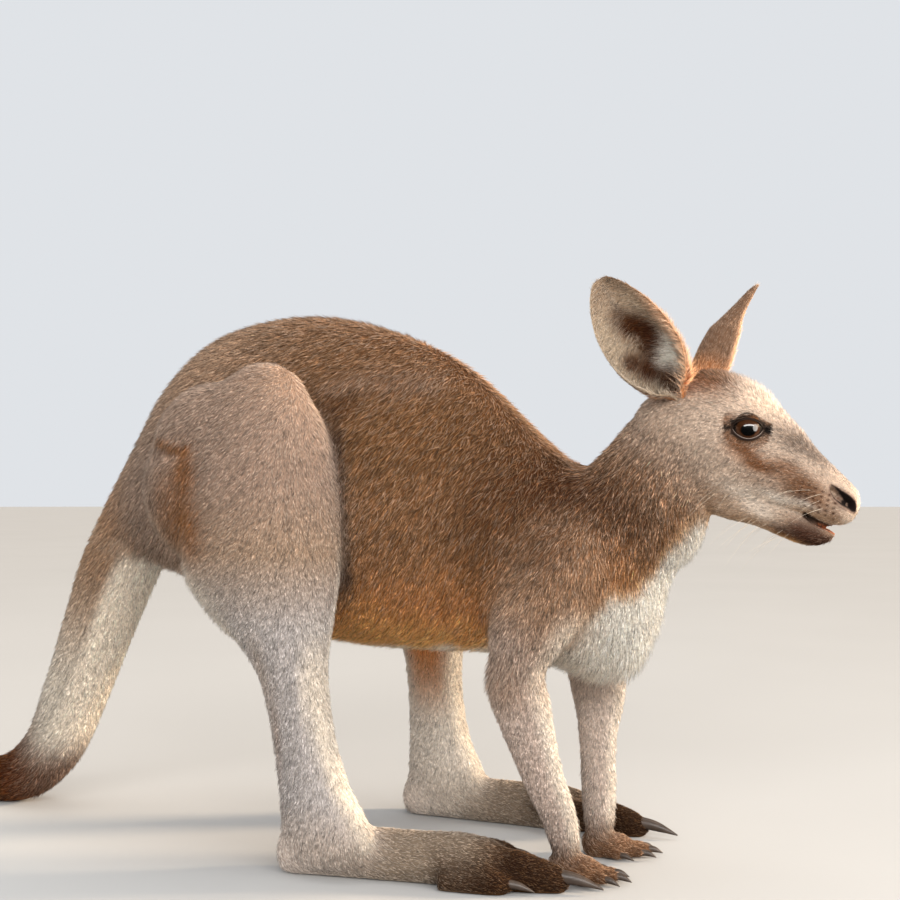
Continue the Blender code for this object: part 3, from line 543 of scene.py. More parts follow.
# Marks on the body, in the same way. Both sides have them.
BODY_MARKS = {
    "trunk": (
        ("rump", (-0.17, 0.06, 0.43), (0.11, 0.12, 0.11), 0.9),
        ("thigh", (-0.205, 0.05, 0.33), (0.06, 0.12, 0.085), 0.95),
        ("knee", (-0.17, 0.05, 0.262), (0.08, 0.12, 0.04), 0.9),
        ("knee", (0.03, 0.085, 0.43), (0.026, 0.08, 0.008), 0.45),
        ("knee", (0.063, 0.085, 0.435), (0.03, 0.08, 0.009), 0.6),
        ("knee", (0.095, 0.085, 0.432), (0.022, 0.08, 0.012), 0.6),
        # painted shade at the top of the fold in front of the thigh, in the shoulder's dark brown
        ("shoulder", (0.026, 0.085, 0.412), (0.02, 0.08, 0.012), 0.7),
        ("shoulder", (0.237, 0.085, 0.342), (0.045, 0.08, 0.04), 0.85),
        ("shoulder", (0.27, 0.07, 0.305), (0.03, 0.07, 0.028), 0.45),
        ("shoulder", (0.175, 0.1, 0.33), (0.04, 0.08, 0.075), 0.45),
        ("upper_flank", (0.09, 0.1, 0.385), (0.08, 0.09, 0.05), 0.6),
        ("back", (0.07, 0.07, 0.436), (0.04, 0.06, 0.014), 0.55),
    ),
    "neck": (
        ("shoulder", (0.237, 0.085, 0.342), (0.045, 0.08, 0.045), 0.85),
        ("shoulder", (0.283, 0.05, 0.309), (0.028, 0.05, 0.028), 0.5),
    ),
    "thigh": (
        *THIGH_PATCHES,
        # painted shade in the creases at the back of the thigh
        ("crease_shade", (-0.156, 0.12, 0.348), (0.003, 0.06, 0.004), 0.6),
        ("crease_shade", (-0.149, 0.12, 0.325), (0.003, 0.06, 0.003), 0.6),
    ),
    "shank": (
        *THIGH_PATCHES,
        ("knee", (-0.03, 0.13, 0.44), (0.04, 0.06, 0.022), 0.8),
        ("belly", (-0.105, 0.115, 0.24), (0.04, 0.04, 0.035), 1.0),
        ("belly", (-0.066, 0.109, 0.19), (0.02, 0.036, 0.04), 1.0),
        ("hock", (-0.024, 0.131, 0.15), (0.01, 0.02, 0.055), 0.9),
        ("thigh", (-0.01, 0.131, 0.11), (0.006, 0.02, 0.04), 0.5),
    ),
    "foot": (),
    "upper_arm": (
        ("shoulder", (0.222, 0.095, 0.29), (0.03, 0.04, 0.03), 0.5),
        ("forearm", (0.19, 0.09, 0.185), (0.034, 0.05, 0.036), 0.7),
    ),
    "forearm": (
        ("upper_arm", (0.188, 0.09, 0.175), (0.014, 0.03, 0.02), 0.5),
    ),
    "tail": (),
}

# Marks on the head, in its own axes, in the same way.
HEAD_MARKS = (
    ("forehead", (0.052, 0.02, 0.074), (0.034, 0.026, 0.016), 0.85),
    ("crown", (0.004, 0.022, 0.072), (0.022, 0.034, 0.016), 0.85),
    ("crown", (-0.024, 0.022, 0.055), (0.022, 0.034, 0.024), 0.55),
    ("muzzle", (0.118, 0.028, 0.018), (0.024, 0.02, 0.013), 0.8),
    ("muzzle_top", (0.106, 0.016, 0.05), (0.034, 0.02, 0.009), 0.8),
    ("eye_patch", (0.06, 0.047, 0.028), (0.015, 0.02, 0.0085), 1.0),
    ("eye_patch", (0.078, 0.042, 0.0215), (0.018, 0.02, 0.0065), 0.95),
    ("eye_patch", (0.097, 0.034, 0.028), (0.015, 0.018, 0.0065), 0.6),
    ("muzzle", (0.084, 0.036, 0.008), (0.018, 0.02, 0.004), 0.35),
    ("eye_patch", (0.123, 0.028, 0.012), (0.012, 0.018, 0.005), 0.5),
    ("eye_patch", (0.114, 0.028, 0.02), (0.01, 0.018, 0.006), 0.5),
    ("lip", (0.128, 0.024, 0.004), (0.02, 0.014, 0.0045), 0.6),
    ("stripe", (0.106, 0.028, 0.002), (0.016, 0.014, 0.006), 1.0),
    ("stripe", (0.122, 0.026, 0.0055), (0.009, 0.014, 0.005), 0.8),
    ("stripe", (0.078, 0.034, -0.006), (0.02, 0.018, 0.007), 0.55),
    ("muzzle", (0.146, 0.018, 0.008), (0.01, 0.01, 0.006), 0.6),
    # painted backlight on the fuzzy front of the nose
    ("nose_backlight", (0.1565, 0.0, 0.025), (0.007, 0.014, 0.012), 0.75),
    ("nose_backlight", (0.154, 0.0, 0.008), (0.006, 0.012, 0.008), 0.6),
    ("cheek", (0.01, 0.044, 0.01), (0.034, 0.02, 0.03), 0.6),
)
JAW_MARKS = (
    ("chin", (0.13, 0.01, -0.012), (0.018, 0.02, 0.013), 1.0),
    ("chin", (0.116, 0.012, -0.023), (0.012, 0.02, 0.0075), 0.8),
    ("chin", (0.142, 0.0, -0.014), (0.014, 0.02, 0.01), 1.0),
    # painted warm backlight along the jaw's lower edge
    ("backlit_orange", (0.128, 0.01, -0.027), (0.018, 0.016, 0.0035), 0.6),
    ("stripe", (0.09, 0.022, -0.012), (0.016, 0.016, 0.008), 0.6),
)

# Marks round the eye, in its own axes (forward, up, out): colour, centre, radii, strength.
LID_MARKS = (
    ("lid", (0.0124, -0.0004, 0.0), (0.0042, 0.0034, 0.012), 0.95),
    ("lid", (-0.0128, 0.0002, 0.0), (0.0034, 0.002, 0.012), 0.9),
)
WARM_LID = ((0.007, 0.0094, 0.004), (0.006, 0.0022, 0.01))
UPPER_LID_EXTRA = 0.0008  # how much wider the upper lid's black edge is
# The dots on the lip: how many, the first one's place in the head's axes, the steps along a
# row and from row to row, and how large each is.
DOT_ROWS, DOTS_IN_ROW = 5, 6
FIRST_DOT = (0.116, 0.026, 0.0065)
DOT_STEP = (0.0058, -0.0012, 0)
DOT_ROW_STEP = (-0.001, 0, 0.0042)
DOT_RADII = (0.0012, 0.01, 0.001)
# The edge of the nose's flat top, where a highlight is painted, as a path in the head's axes.
RIDGE = ((0.086, 0.024, 0.052), (0.113, 0.019, 0.048), (0.14, 0.014, 0.0425))

# The lie of the coat by kind of part, in the animal's frame, on the left side. The head's
# and the feet's are in their own axes.
LIE = {
    "trunk": (-0.45, 0.1, -0.9),
    "neck": (-0.3, 0.05, -0.95),
    "tail": (-0.6, 0.0, -0.8),
    "thigh": (-0.6, 0.1, -0.78),
    "shank": (-0.15, 0.0, -1.0),
    "upper_arm": (-0.3, 0.0, -0.95),
    "forearm": (-0.05, 0.0, -1.0),
    "head": (-0.95, 0.0, -0.32),
    "jaw": (-0.9, 0.0, -0.3),
    "foot": (1.0, 0.0, -0.1),
    "toe": (1.0, 0.0, -0.15),
    "paw": (1.0, 0.0, -0.2),
}
# Places where the coat turns: kind of part, centre, radii, direction, strength.
LIE_TURNS = (
    ("trunk", (-0.2, 0.05, 0.42), (0.12, 0.15, 0.12), (-0.8, 0.05, -0.6), 2.0),
    ("trunk", (0.06, 0.0, 0.17), (0.2, 0.05, 0.04), (-1.0, 0.0, -0.1), 2.0),
    ("trunk", (0.285, 0.0, 0.2), (0.04, 0.06, 0.08), (0.2, 0.0, -1.0), 3.0),
    ("neck", (0.33, 0.0, 0.29), (0.04, 0.05, 0.04), (0.05, 0.0, -1.0), 2.0),
    ("shank", (-0.06, 0.13, 0.33), (0.05, 0.06, 0.09), (-0.85, 0.0, -0.55), 3.0),
    ("shank", (-0.08, 0.12, 0.25), (0.04, 0.06, 0.05), (-0.75, 0.0, -0.65), 3.0),
    ("shank", (0.04, 0.12, 0.33), (0.02, 0.06, 0.12), (0.3, 0.0, -0.95), 2.0),
    ("shank", (-0.025, 0.12, 0.42), (0.04, 0.06, 0.03), (-0.7, 0.1, -0.6), 2.0),
    ("head", (0.0, 0.045, -0.01), (0.055, 0.04, 0.045), (0.05, 0.0, -1.0), 5.0),
    ("head", (0.06, 0.045, 0.0), (0.03, 0.03, 0.025), (-0.25, 0.0, -0.95), 3.0),
    ("head", (0.1, 0.03, 0.0), (0.03, 0.03, 0.02), (-0.75, 0.0, -0.65), 1.5),
    ("head", (0.05, 0.0, 0.08), (0.04, 0.04, 0.02), (-1.0, 0.0, 0.2), 2.0),
)
# Places where the coat is longer or shorter: kind, centre, radii, times the length, lift added.
LENGTHS = (
    ("trunk", (0.29, 0.0, 0.21), (0.035, 0.08, 0.05), 1.45, 8),
    ("trunk", (0.255, 0.0, 0.17), (0.035, 0.08, 0.025), 1.6, 14),
    ("trunk", (0.06, 0.0, 0.18), (0.16, 0.08, 0.025), 1.2, 4),
    ("trunk", (-0.22, 0.0, 0.27), (0.06, 0.08, 0.04), 1.3, 6),
    ("neck", (0.33, 0.0, 0.295), (0.04, 0.06, 0.035), 1.4, 14),
    ("shank", (-0.11, 0.115, 0.262), (0.022, 0.04, 0.035), 1.7, 16),
    ("shank", (-0.075, 0.11, 0.21), (0.022, 0.04, 0.04), 1.6, 16),
    ("upper_arm", (0.19, 0.07, 0.19), (0.022, 0.04, 0.025), 1.4, 10),
    ("forearm", (0.178, 0.07, 0.175), (0.014, 0.04, 0.02), 1.5, 8),
    ("forearm", (0.24, 0.045, 0.06), (0.014, 0.03, 0.045), 1.25, 6),
    ("head", (-0.02, 0.03, -0.02), (0.03, 0.04, 0.03), 1.7, 3),
    ("head", (0.0, 0.02, 0.075), (0.035, 0.04, 0.02), 1.45, 10),
    ("head", (0.046, 0.0, 0.08), (0.04, 0.022, 0.018), 1.9, 30),
    ("head", (0.095, 0.0, 0.06), (0.02, 0.016, 0.014), 1.3, 16),
    ("head", (0.05, 0.046, 0.034), (0.02, 0.02, 0.016), 1.0, 7),
    ("head", (0.14, 0.01, 0.02), (0.02, 0.03, 0.025), 0.45, -4),
    ("head", (0.136, 0.018, 0.0), (0.022, 0.02, 0.008), 0.6, -4),
    ("jaw", (0.136, 0.016, -0.006), (0.022, 0.02, 0.005), 0.45, -6),
)
# How strongly tufts differ in tint from their neighbours, by kind of part.
GRIZZLE = {
    "trunk": 0.34, "neck": 0.47, "head": 0.34, "jaw": 0.2, "tail": 0.29, "thigh": 0.29,
    "shank": 0.23, "foot": 0.26, "toe": 0.3, "upper_arm": 0.36, "forearm": 0.26, "paw": 0.28,
}

# ---------------------------------------------------------------- pieces and their sizes

PART_BLUR = 0.006  # how softly one part's markings run into the next's
FLOW_ROUNDS = 25
COAT_SHARE = 1.0
MOST_TUFTS = 49000  # in one piece
ROOT_DEPTH = 0.0004
LEAST_HEIGHT = 0.0006
TUFT_DROOP = 0.05  # how far a tuft's tip is lowered, as a share of its length
TUFT_FACES = np.array([(0, 2, 1), (0, 1, 3), (1, 2, 3), (2, 0, 3)])  # of roots 0 to 2 and tip 3
# The skin and a tuft's root are deeper and darker than the coat's own colour, for the hairs' dark
# roots and as
# painted shade in the gaps between tufts: it is raised to a power and scaled, so that a white coat
# stays white.
# Tips are lighter in the same way.
SKIN_DEPTH = (1.45, 0.72)
ROOT_DEPTHS = (1.3, 0.86)
TIP_DEPTHS = (0.9, 1.04)
PALE_TIP = (0.8, 0.66, 0.54)
# How much tints differ: less the nearer the coat is to this, which is just over white, the
# chances of a nearly black and of a pale tuft, and how dark and how pale these are.
WHITE_GRIZZLE = 1.1
DARK_CHANCE, PALE_CHANCE = 0.8, 0.5
DARK_SHADE, PALE_SHARE = 0.45, 0.28
DARK_COAT = 0.2  # on a coat darker than this the pale tufts fade away
# How the tufts are ruffled: in locks so many lengths wide, by turning (in radians) and by
# lifting (in degrees) locks and single tufts, and how much lengths and widths vary.
LOCK_SIZE = 0.75
LOCK_TURN, OWN_TURN = 0.3, 0.16
LOCK_LIFT, OWN_LIFT = 5, 4
LIFT_RANGE = (2, 70)
LENGTH_RANGE = (0.7, 1.25)
WIDTH_RANGE = (0.75, 1.3)
# A tuft's third root lies this much higher than the other two and behind them, in widths.
TUFT_RIDGE, TUFT_BACK = 0.55, 0.25
TUFT_SINK = 0.15  # in widths, beyond ROOT_DEPTH
PATCH_SIZE, MOTTLE_SIZE = 0.035, 0.012  # of the coat's broad patches and fine mottling
MOTTLE = 0.06
BAND_SCALE = 420.0  # how fine the bands along the hairs are
PATCH = 0.003
COAT_PIECES = {
    "coat_trunk": (("trunk",), "coat_back"),
    "coat_neck": (("neck",), "coat_back"),
    "coat_head": (("head", "jaw"), "coat_back"),
    "coat_tail": (("tail",), "coat_back"),
    "coat_leg_right": (("thigh_right", "shank_right", "foot_right", "toe_right"), "coat_limb"),
    "coat_leg_left": (("thigh_left", "shank_left", "foot_left", "toe_left"), "coat_limb"),
    "coat_forelegs": (("upper_arm", "forearm", "paw"), "coat_limb"),
}
OWN_PIECES = ("eye_", "claw_", "ear_")

EAR_ROWS, EAR_COLUMNS = 72, 49
EAR_ROOT = -0.05
EAR_COAT = 0.0005
EAR_HAIR = ((0, 0.007, 0.0004, 0.00115, 13), (0, 0.0042, 0.00042, 0.00098, 9))  # in, out; as COAT
EAR_SKIN = 0.0016
# Marks inside the ear: colour, (forward, along), radii, strength.
EAR_MARKS = (
    ("ear_dark", (-0.1, 0.68, 0), (0.3, 0.09, 1), 0.55),
    ("ear_dark", (0.1, 0.58, 0), (0.34, 0.1, 1), 1.0),
    ("ear_dark", (0.3, 0.47, 0), (0.26, 0.12, 1), 1.0),
    ("ear_dark", (0.12, 0.38, 0), (0.2, 0.09, 1), 0.95),
    ("ear_dark", (-0.36, 0.36, 0), (0.22, 0.07, 1), 0.85),
    ("ear_dark", (-0.12, 0.25, 0), (0.28, 0.09, 1), 1.0),
    ("ear_dark", (0.16, 0.13, 0), (0.34, 0.11, 1), 1.0),
    ("ear_dark", (0.24, 0.03, 0), (0.26, 0.09, 1), 1.0),
    ("ear_white", (0.34, 0.25, 0), (0.24, 0.05, 1), 1.0),
    ("ear_white", (0.52, 0.24, 0), (0.24, 0.11, 1), 1.0),
    ("ear_white", (0.62, 0.34, 0), (0.14, 0.08, 1), 0.9),
)

EYE_RINGS, EYE_SEGMENTS = 72, 96
LID_FIT = 0.0006  # how much smaller the eyeball is than the ball that the lids lie on
CORNEA_BULGE = 0.0011
CORNEA_ANGLE = math.radians(46)
PUPIL_LONG, PUPIL_HIGH = 0.0064, 0.005
IRIS_RADIUS = 0.0104
IRIS_COLOURS = ((0.014, 0.005, 0.002), (0.06, 0.02, 0.006))
# Lashes of the upper and the lower lid: whether upper, how many, length, droop and curl.
LASHES = ((True, 46, 0.007, -0.55, 0.15), (False, 22, 0.0032, -0.5, -0.1))
LASH_SET = 0.001  # how far outside the opening and over the eyeball they grow
LASH_WIDTH = 0.00016
LASH_STRAY = 0.08
# Lines along the lids: name, on which lids (upper is True), how far outside the opening,
# thickness and material.
LID_LINES = (
    ("lid_rims", (True, False), 0.0003, 0.00055, "lid_edge"),
    ("lid_water", (False,), -0.0002, 0.00022, "eye_water"),
)
WHISKER_WIDTH = 0.00013
WHISKER_STRAY = 0.16
WHISKER_LEAST_RISE = 0.35  # out of the skin, of a whisker of length 1
WHISKER_BEND = (0, 0, -0.22)
# Whiskers, in the head's axes: centre, spread, how many a side, length, direction.
WHISKERS = (
    ((0.126, 0.026, 0.014), (0.014, 0.003, 0.006), 6, 0.034, (-0.45, 0.7, -0.55)),
    ((0.104, 0.014, -0.024), (0.014, 0.004, 0.002), 8, 0.04, (-0.55, 0.2, -0.8)),
    ((0.06, 0.04, -0.022), (0.006, 0.003, 0.004), 3, 0.034, (-0.35, 0.45, -0.8)),
    ((0.05, 0.034, 0.07), (0.004, 0.003, 0.002), 3, 0.026, (-0.25, 0.55, 0.75)),
)
CLAW_SLIM = 0.96

# ---------------------------------------------------------------- floor, light and camera

FLOOR_RADIUS = 60.0
WORLD_COLOUR = (0.93, 0.96, 1.0, 1)
WORLD_STRENGTH = 0.8
# Suns: name, the way to each, its width in degrees, strength and colour.
SUNS = (
    ("front_sun", (1.0, -0.14, 0.02), 50, 3.5, (1.0, 0.95, 0.88)),
    ("high_sun", (0.05, 0.1, 1.0), 40, 0.9, (1.0, 0.96, 0.9)),
    ("low_sun", (0.8, 0.45, 0.28), 10, 6.0, (1.0, 0.78, 0.55)),
)
# A broad bright band, which the eyes reflect: place, what it points at, size, power, colour.
SKY_BAND = ((1.49, -2.56, 1.6), (0.3, 0.0, 0.3), (5.5, 0.7), 145, (1.0, 0.97, 0.94))
CAMERA_PLACE = (0.5277, -1.046, 0.3253)
CAMERA_HEADING = math.radians(22)
CAMERA_PITCH = math.atan(50 / 1200)
CAMERA_LENS = 48


# ---------------------------------------------------------------- lofts


def smooth_rows(rows, count):
    """The rows resampled evenly along a Catmull-Rom curve through them."""
    rows = np.array(rows, float)
    padded = np.vstack([2 * rows[0] - rows[1], rows, 2 * rows[-1] - rows[-2]])
    spans = len(rows) - 1
    along = np.linspace(0, spans, count)
    first = np.minimum(along.astype(int), spans - 1)
    t = (along - first)[:, None]
    a, b, c, d = (padded[first + step] for step in range(4))
    curve = 2 * b + (c - a) * t + (2 * a - 5 * b + 4 * c - d) * t**2
    return 0.5 * (curve + (3 * b - a - 3 * c + d) * t**3)


def oval(low, high, widths, points):
    """(across, height) round an oval from low to high, with half widths near its low edge,
    middle and high edge."""
    angle = np.linspace(0, 2 * math.pi, points, endpoint=False)
    share = (1 + np.cos(angle)) / 2
    lower, middle, upper = widths
    width = lower * (1 - share) * (1 - 2 * share)
    width += middle * 4 * share * (1 - share)
    width += upper * share * (2 * share - 1)
    across = width * np.sign(np.sin(angle)) * np.abs(np.sin(angle)) ** 0.85
    return across, low + (high - low) * share


def on_floor(points):
    """The points, with none left under the floor."""
    points[:, 2] = np.maximum(points[:, 2], FLOOR)
    return points


def sunk_rows(rows, depth, sizes):
    """The rows with their sizes less the depth, but never under a third of themselves.
    sizes are the columns that hold sizes."""
    rows = np.array(rows, float)
    kept = np.maximum(rows[:, sizes] - np.reshape(depth, (-1, 1)), rows[:, sizes] / 3)
    rows[:, sizes] = kept
    return rows


def sunk_slices(rows, depth):
    """Rows of (place, low, high, three half widths), sunk by depth but never to nothing."""
    rows = np.array(rows, float)
    middle = (rows[:, 1] + rows[:, 2]) / 2
    half = np.maximum((rows[:, 2] - rows[:, 1]) / 2 - depth, (rows[:, 2] - rows[:, 1]) / 6)
    rows[:, 1], rows[:, 2] = middle - half, middle + half
    return sunk_rows(rows, depth, [3, 4, 5])


def slices(rows, depth, place=None):
    """Rings across X, sunk by depth, from rows of (along, low, high, three half widths)."""
    rings = []
    for along, low, high, *widths in sunk_slices(rows, depth):
        across, height = oval(low, high, widths, RING_POINTS)
        ring = np.stack([np.full(RING_POINTS, along), across, height], axis=1)
        rings.append(on_floor(place(ring) if place else ring))
    return np.array(rings)


def tube(rows, depth):
    """Rings across a curved axis, from rows of (x, y, z, half width, half depth)."""
    rows = sunk_rows(rows, depth, [3, 4])
    ahead = np.gradient(rows[:, :3], axis=0)
    ahead /= np.linalg.norm(ahead, axis=1)[:, None]
    angle = np.linspace(0, 2 * math.pi, RING_POINTS, endpoint=False)
    rings = []
    for (x, y, z, half_width, half_depth), axis in zip(rows, ahead, strict=True):
        side = np.array((0.0, 1.0, 0.0)) - axis * axis[1]
        side /= np.linalg.norm(side)
        ring = np.array((x, y, z)) + np.outer(half_width * np.cos(angle), side)
        ring += np.outer(half_depth * np.sin(angle), np.cross(side, axis))
        rings.append(on_floor(ring))
    return np.array(rings)


def fine_rows(rows, kind):
    """A part's rows resampled about every RING_STEP."""
    return smooth_rows(rows, max(LEAST_RINGS, int(LOFT_LENGTHS[kind] / RING_STEP)))


def shank_rings(side, rows, depth):
    """Level rings of the shank, moved so that it stands on its own foot."""
    ahead, wider = np.subtract(FEET[side]["heel"], FEET[-1]["heel"])
    rings = []
    for height, rear, front, *widths, out in sunk_slices(rows, depth):
        across, along = oval(rear, front, widths, RING_POINTS)
        low = (1 - height / SHANK[0][0]) ** 0.5
        forward = ahead * low + shin_ahead(side, height)
        ring = [along + forward, side * (out + wider * low) + across]
        rings.append(np.stack([*ring, np.full(RING_POINTS, height)], axis=1))
    return np.array(rings)


def shin_ahead(side, height):
    """How far the shank is moved ahead at this height."""
    return FEET[side]["shin_ahead"] * np.interp(height, *np.transpose(SHIN_AHEAD))


def on_side(rows, side):
    """Tube rows whose second value is outward, for the left (1) or right (-1) side."""
    return [(x, side * out, *rest) for x, out, *rest in rows]


def placed_by(matrix):
    rows = np.array(matrix)
    return lambda points: np.asarray(points) @ rows[:3, :3].T + rows[:3, 3]


def head_matrix():
    """The head's own axes (along it, to its left, up) in the animal's frame."""
    turn = Matrix.Rotation(-HEAD_TURN, 4, "Z")
    nod = Matrix.Rotation(HEAD_DOWN, 4, "Y")
    return Matrix.Translation(HEAD_PIVOT) @ turn @ nod


HEAD_AXES = np.array(head_matrix())[:3, :3]
from_head = placed_by(head_matrix())
to_head = placed_by(head_matrix().inverted())


def foot_matrix(side):
    """A hind foot's own axes (along it, outward, up) in the animal's frame."""
    stand = FEET[side]
    turn = Matrix.Rotation(-side * math.radians(stand["toe_in"]), 4, "Z")
    heel_x, outward = stand["heel"]
    place = Matrix.Translation((heel_x, side * outward, 0.0))
    return place @ turn @ Matrix.Diagonal((1, side, 1, 1))


def paw_matrix(side):
    x, out, _, _, _ = FOREARMS[side][-1]
    turn = Matrix.Rotation(side * PAW_TURN_OUT[side], 4, "Z")
    place = Matrix.Translation((x, side * out, 0.0))
    return place @ turn @ Matrix.Diagonal((1, side, 1, 1))


def dive(kind, heights, keep):
    """Extra depth beyond the crossing, for a shell that keeps one side of it, and which
    rows remain."""
    cross, run = CROSSINGS[kind]
    beyond = keep * (cross - heights)
    return DIVE * np.clip(beyond / run, 0, 1), beyond < run


# ---------------------------------------------------------------- parts of the skin


def part_tube(kind, rows):
    """A part across its curved axis, as deep as its coat."""
    return tube(fine_rows(rows, kind), COAT[kind][DEPTH])


def part_slices(kind, rows, place=None):
    """A part in upright slices, as deep as its coat."""
    return slices(fine_rows(rows, kind), COAT[kind][DEPTH], place)


def crossing_tube(kind, rows, keep):
    """A part that passes from one shell into another."""
    rows = fine_rows(rows, kind)
    extra, kept = dive(kind, rows[:, 2], keep)
    return tube(rows, COAT[kind][DEPTH] + extra)[kept]


def on_middle(rows):
    """Rows of (x, z, sizes) as tube rows on the animal's middle plane."""
    return [(x, 0.0, *rest) for x, *rest in rows]


def neck_rings(keep):
    return crossing_tube("neck", on_middle(NECK), keep)


def leg_rings(side, keep):
    rows = fine_rows(SHANK, "shank")
    extra, kept = dive("shank", rows[:, 0], keep)
    height, run = ANKLE
    share = np.clip((rows[:, 0] - height) / run, 0, 1)
    coat = COAT["foot"][DEPTH] + (COAT["shank"][DEPTH] - COAT["foot"][DEPTH]) * share
    return shank_rings(side, rows, coat + extra)[kept]


def forearm_rings(side, keep):
    return crossing_tube("forearm", on_side(FOREARMS[side], side), keep)


def tail_rings():
    rows = fine_rows(on_middle(TAIL), "tail")
    return tube(rows, COAT["tail"][DEPTH] * np.linspace(1, TAIL_TIP_COAT, len(rows)))


def thigh_rings(side):
    return part_tube("thigh", on_side(THIGH, side))


def upper_arm_rings(side):
    rows = [(*places[side > 0], *rest) for *rest, places in UPPER_ARM]
    return part_tube("upper_arm", on_side(rows, side))


def body_parts():
    """Part name to rings, for the body's shell."""
    parts = {"trunk": part_slices("trunk", TRUNK), "neck": neck_rings(BELOW)}
    parts["tail"] = tail_rings()
    for side, name in SIDE_NAMES.items():
        parts["thigh_" + name] = thigh_rings(side)
        parts["shank_" + name] = leg_rings(side, ABOVE)
        parts["upper_arm_" + name] = upper_arm_rings(side)
        parts["forearm_" + name] = forearm_rings(side, ABOVE)
    return parts


def head_parts():
    jaw = np.array(JAW, float)
    jaw[:, 2] += JAW_FILL
    return {
        "head": part_slices("head", HEAD, from_head),
        "jaw": part_slices("jaw", jaw, from_head),
        "neck": neck_rings(ABOVE),
    }


def toe_place(side, toe):
    """From a toe's own axes to the animal's frame."""
    return placed_by(foot_matrix(side) @ Matrix.Translation((0, toe["across"], 0)))


def foot_parts(side, name):
    parts = {"foot_" + name: part_slices("foot", FOOT, placed_by(foot_matrix(side)))}
    for toe_name, toe in TOES.items():
        parts[f"{toe_name}_{name}"] = part_slices("toe", toe["rows"], toe_place(side, toe))
    parts["shank_" + name] = leg_rings(side, BELOW)
    return parts


def finger_axis(across, start, splay, radius):
    """Where a finger starts and the way that it points, in its paw's axes."""
    angle = math.radians(splay)
    ahead = np.array((math.cos(angle), math.sin(angle), 0.0))
    return np.array((start, across, radius * FINGER_HEIGHT)), ahead


def finger_rings(side, across, start, length, splay, radius):
    place = placed_by(paw_matrix(side))
    root, ahead = finger_axis(across, start, splay, radius)
    rows = []
    for along, wide, deep in FINGER_TAPER:
        middle = place([root + ahead * length * along])[0]
        rows.append((*middle, radius * wide, radius * deep))
    return tube(fine_rows(rows, "paw"), COAT["paw"][DEPTH] * FINGER_COAT)


def paw_parts(side, name):
    parts = {"paw_" + name: part_slices("paw", PAW, placed_by(paw_matrix(side)))}
    for number, finger in enumerate(FINGERS, 1):
        parts[f"finger_{name}_{number}"] = finger_rings(side, *finger)
    parts["forearm_" + name] = forearm_rings(side, BELOW)
    return parts


# ---------------------------------------------------------------- meshes as arrays


def grid_corners(grid):
    """The four corners of every square in a grid of point numbers, going round it."""
    squares = (grid[:-1, :-1], grid[:-1, 1:], grid[1:, 1:], grid[1:, :-1])
    return [corners.ravel() for corners in squares]


def loft_arrays(rings):
    """(points, triangles) of a closed loft, facing out."""
    count, points = rings.shape[:2]
    vertices = np.vstack([rings.reshape(-1, 3), rings[0].mean(0), rings[-1].mean(0)])
    grid = np.arange(count * points).reshape(count, points)
    a, b, c, d = grid_corners(np.column_stack([grid, grid[:, 0]]))
    first, last = np.full((2, points), count * points) + [[0], [1]]
    after = np.roll(grid, -1, axis=1)
    faces = np.concatenate([
        np.stack([a, b, c], 1),
        np.stack([a, c, d], 1),
        np.stack([first, after[0], grid[0]], 1),
        np.stack([last, grid[-1], after[-1]], 1),
    ])
    volume = np.linalg.det(vertices[faces]).sum()
    return vertices, faces if volume > 0 else faces[:, ::-1]


def new_mesh(name, points, faces):
    """A mesh from an array of points and one of faces that all have as many corners."""
    mesh = bpy.data.meshes.new(name)
    count, corners = faces.shape
    mesh.vertices.add(len(points))
    mesh.vertices.foreach_set("co", np.asarray(points, np.float32).ravel())
    mesh.loops.add(count * corners)
    mesh.loops.foreach_set("vertex_index", np.asarray(faces, np.int32).ravel())
    mesh.polygons.add(count)
    mesh.polygons.foreach_set("loop_start", np.arange(0, count * corners, corners, dtype=np.int32))
    mesh.update(calc_edges=True)
    return mesh


def new_object(name, mesh):
    made = bpy.data.objects.new(name, mesh)
    bpy.context.scene.collection.objects.link(made)
    return made


def read(items, key, width, kind=np.float32):
    """A property of every item, as an array with width columns."""
    values = np.empty(len(items) * width, kind)
    items.foreach_get(key, values)
    return values.reshape(-1, width) if width > 1 else values


def apply_modifiers(obj):
    """Puts the object's modifiers into its mesh."""
    graph = bpy.context.evaluated_depsgraph_get()
    mesh = bpy.data.meshes.new_from_object(obj.evaluated_get(graph))
    obj.modifiers.clear()
    obj.data = mesh


def stacked(lofts):
    """(points, faces) of several meshes as one."""
    points, faces, start = [], [], 0
    for own_points, own_faces in lofts:
        points.append(own_points)
        faces.append(own_faces + start)
        start += len(own_points)
    return np.vstack(points), np.vstack(faces)


def shell(name, parts, voxel):
    """One closed surface round all the parts."""
    made = new_object(name, new_mesh(name, *stacked(map(loft_arrays, parts.values()))))
    remesh = made.modifiers.new("remesh", "REMESH")
    remesh.mode = "VOXEL"
    remesh.voxel_size = voxel
    apply_modifiers(made)
    return made


def joined_shells():
    """The skin as one closed surface, the fine shells joined to the body's."""
    skin = shell("skin", body_parts(), VOXELS["body"])
    finer = [("head", head_parts())]
    for side, name in SIDE_NAMES.items():
        finer.append(("foot", foot_parts(side, name)))
        finer.append(("paw", paw_parts(side, name)))
    for kind, own in finer:
        other = shell(kind, own, VOXELS[kind])
        union = skin.modifiers.new("union", "BOOLEAN")
        union.operation = "UNION"
        union.solver = "MANIFOLD"
        union.object = other
        apply_modifiers(skin)
        bpy.data.objects.remove(other)
    return skin


def find_shift():
    """From the animal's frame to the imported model's, by where the right eye lies in each."""
    along, out, up = EYE_PLACE
    middle = np.add(*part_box("eye_right")) / 2
    return Vector((middle - from_head([(along, -out, up)])[0]).tolist())


SHIFT = find_shift()


# ---------------------------------------------------------------- the skin's surface


def smooth_step(low, high, values):
    t = np.clip((np.asarray(values) - low) / (high - low), 0, 1)
    return t * t * (3 - 2 * t)


def fade(low, high, values):
    """1 where values are under low, 0 over high, and smooth between."""
    return 1 - smooth_step(low, high, values)


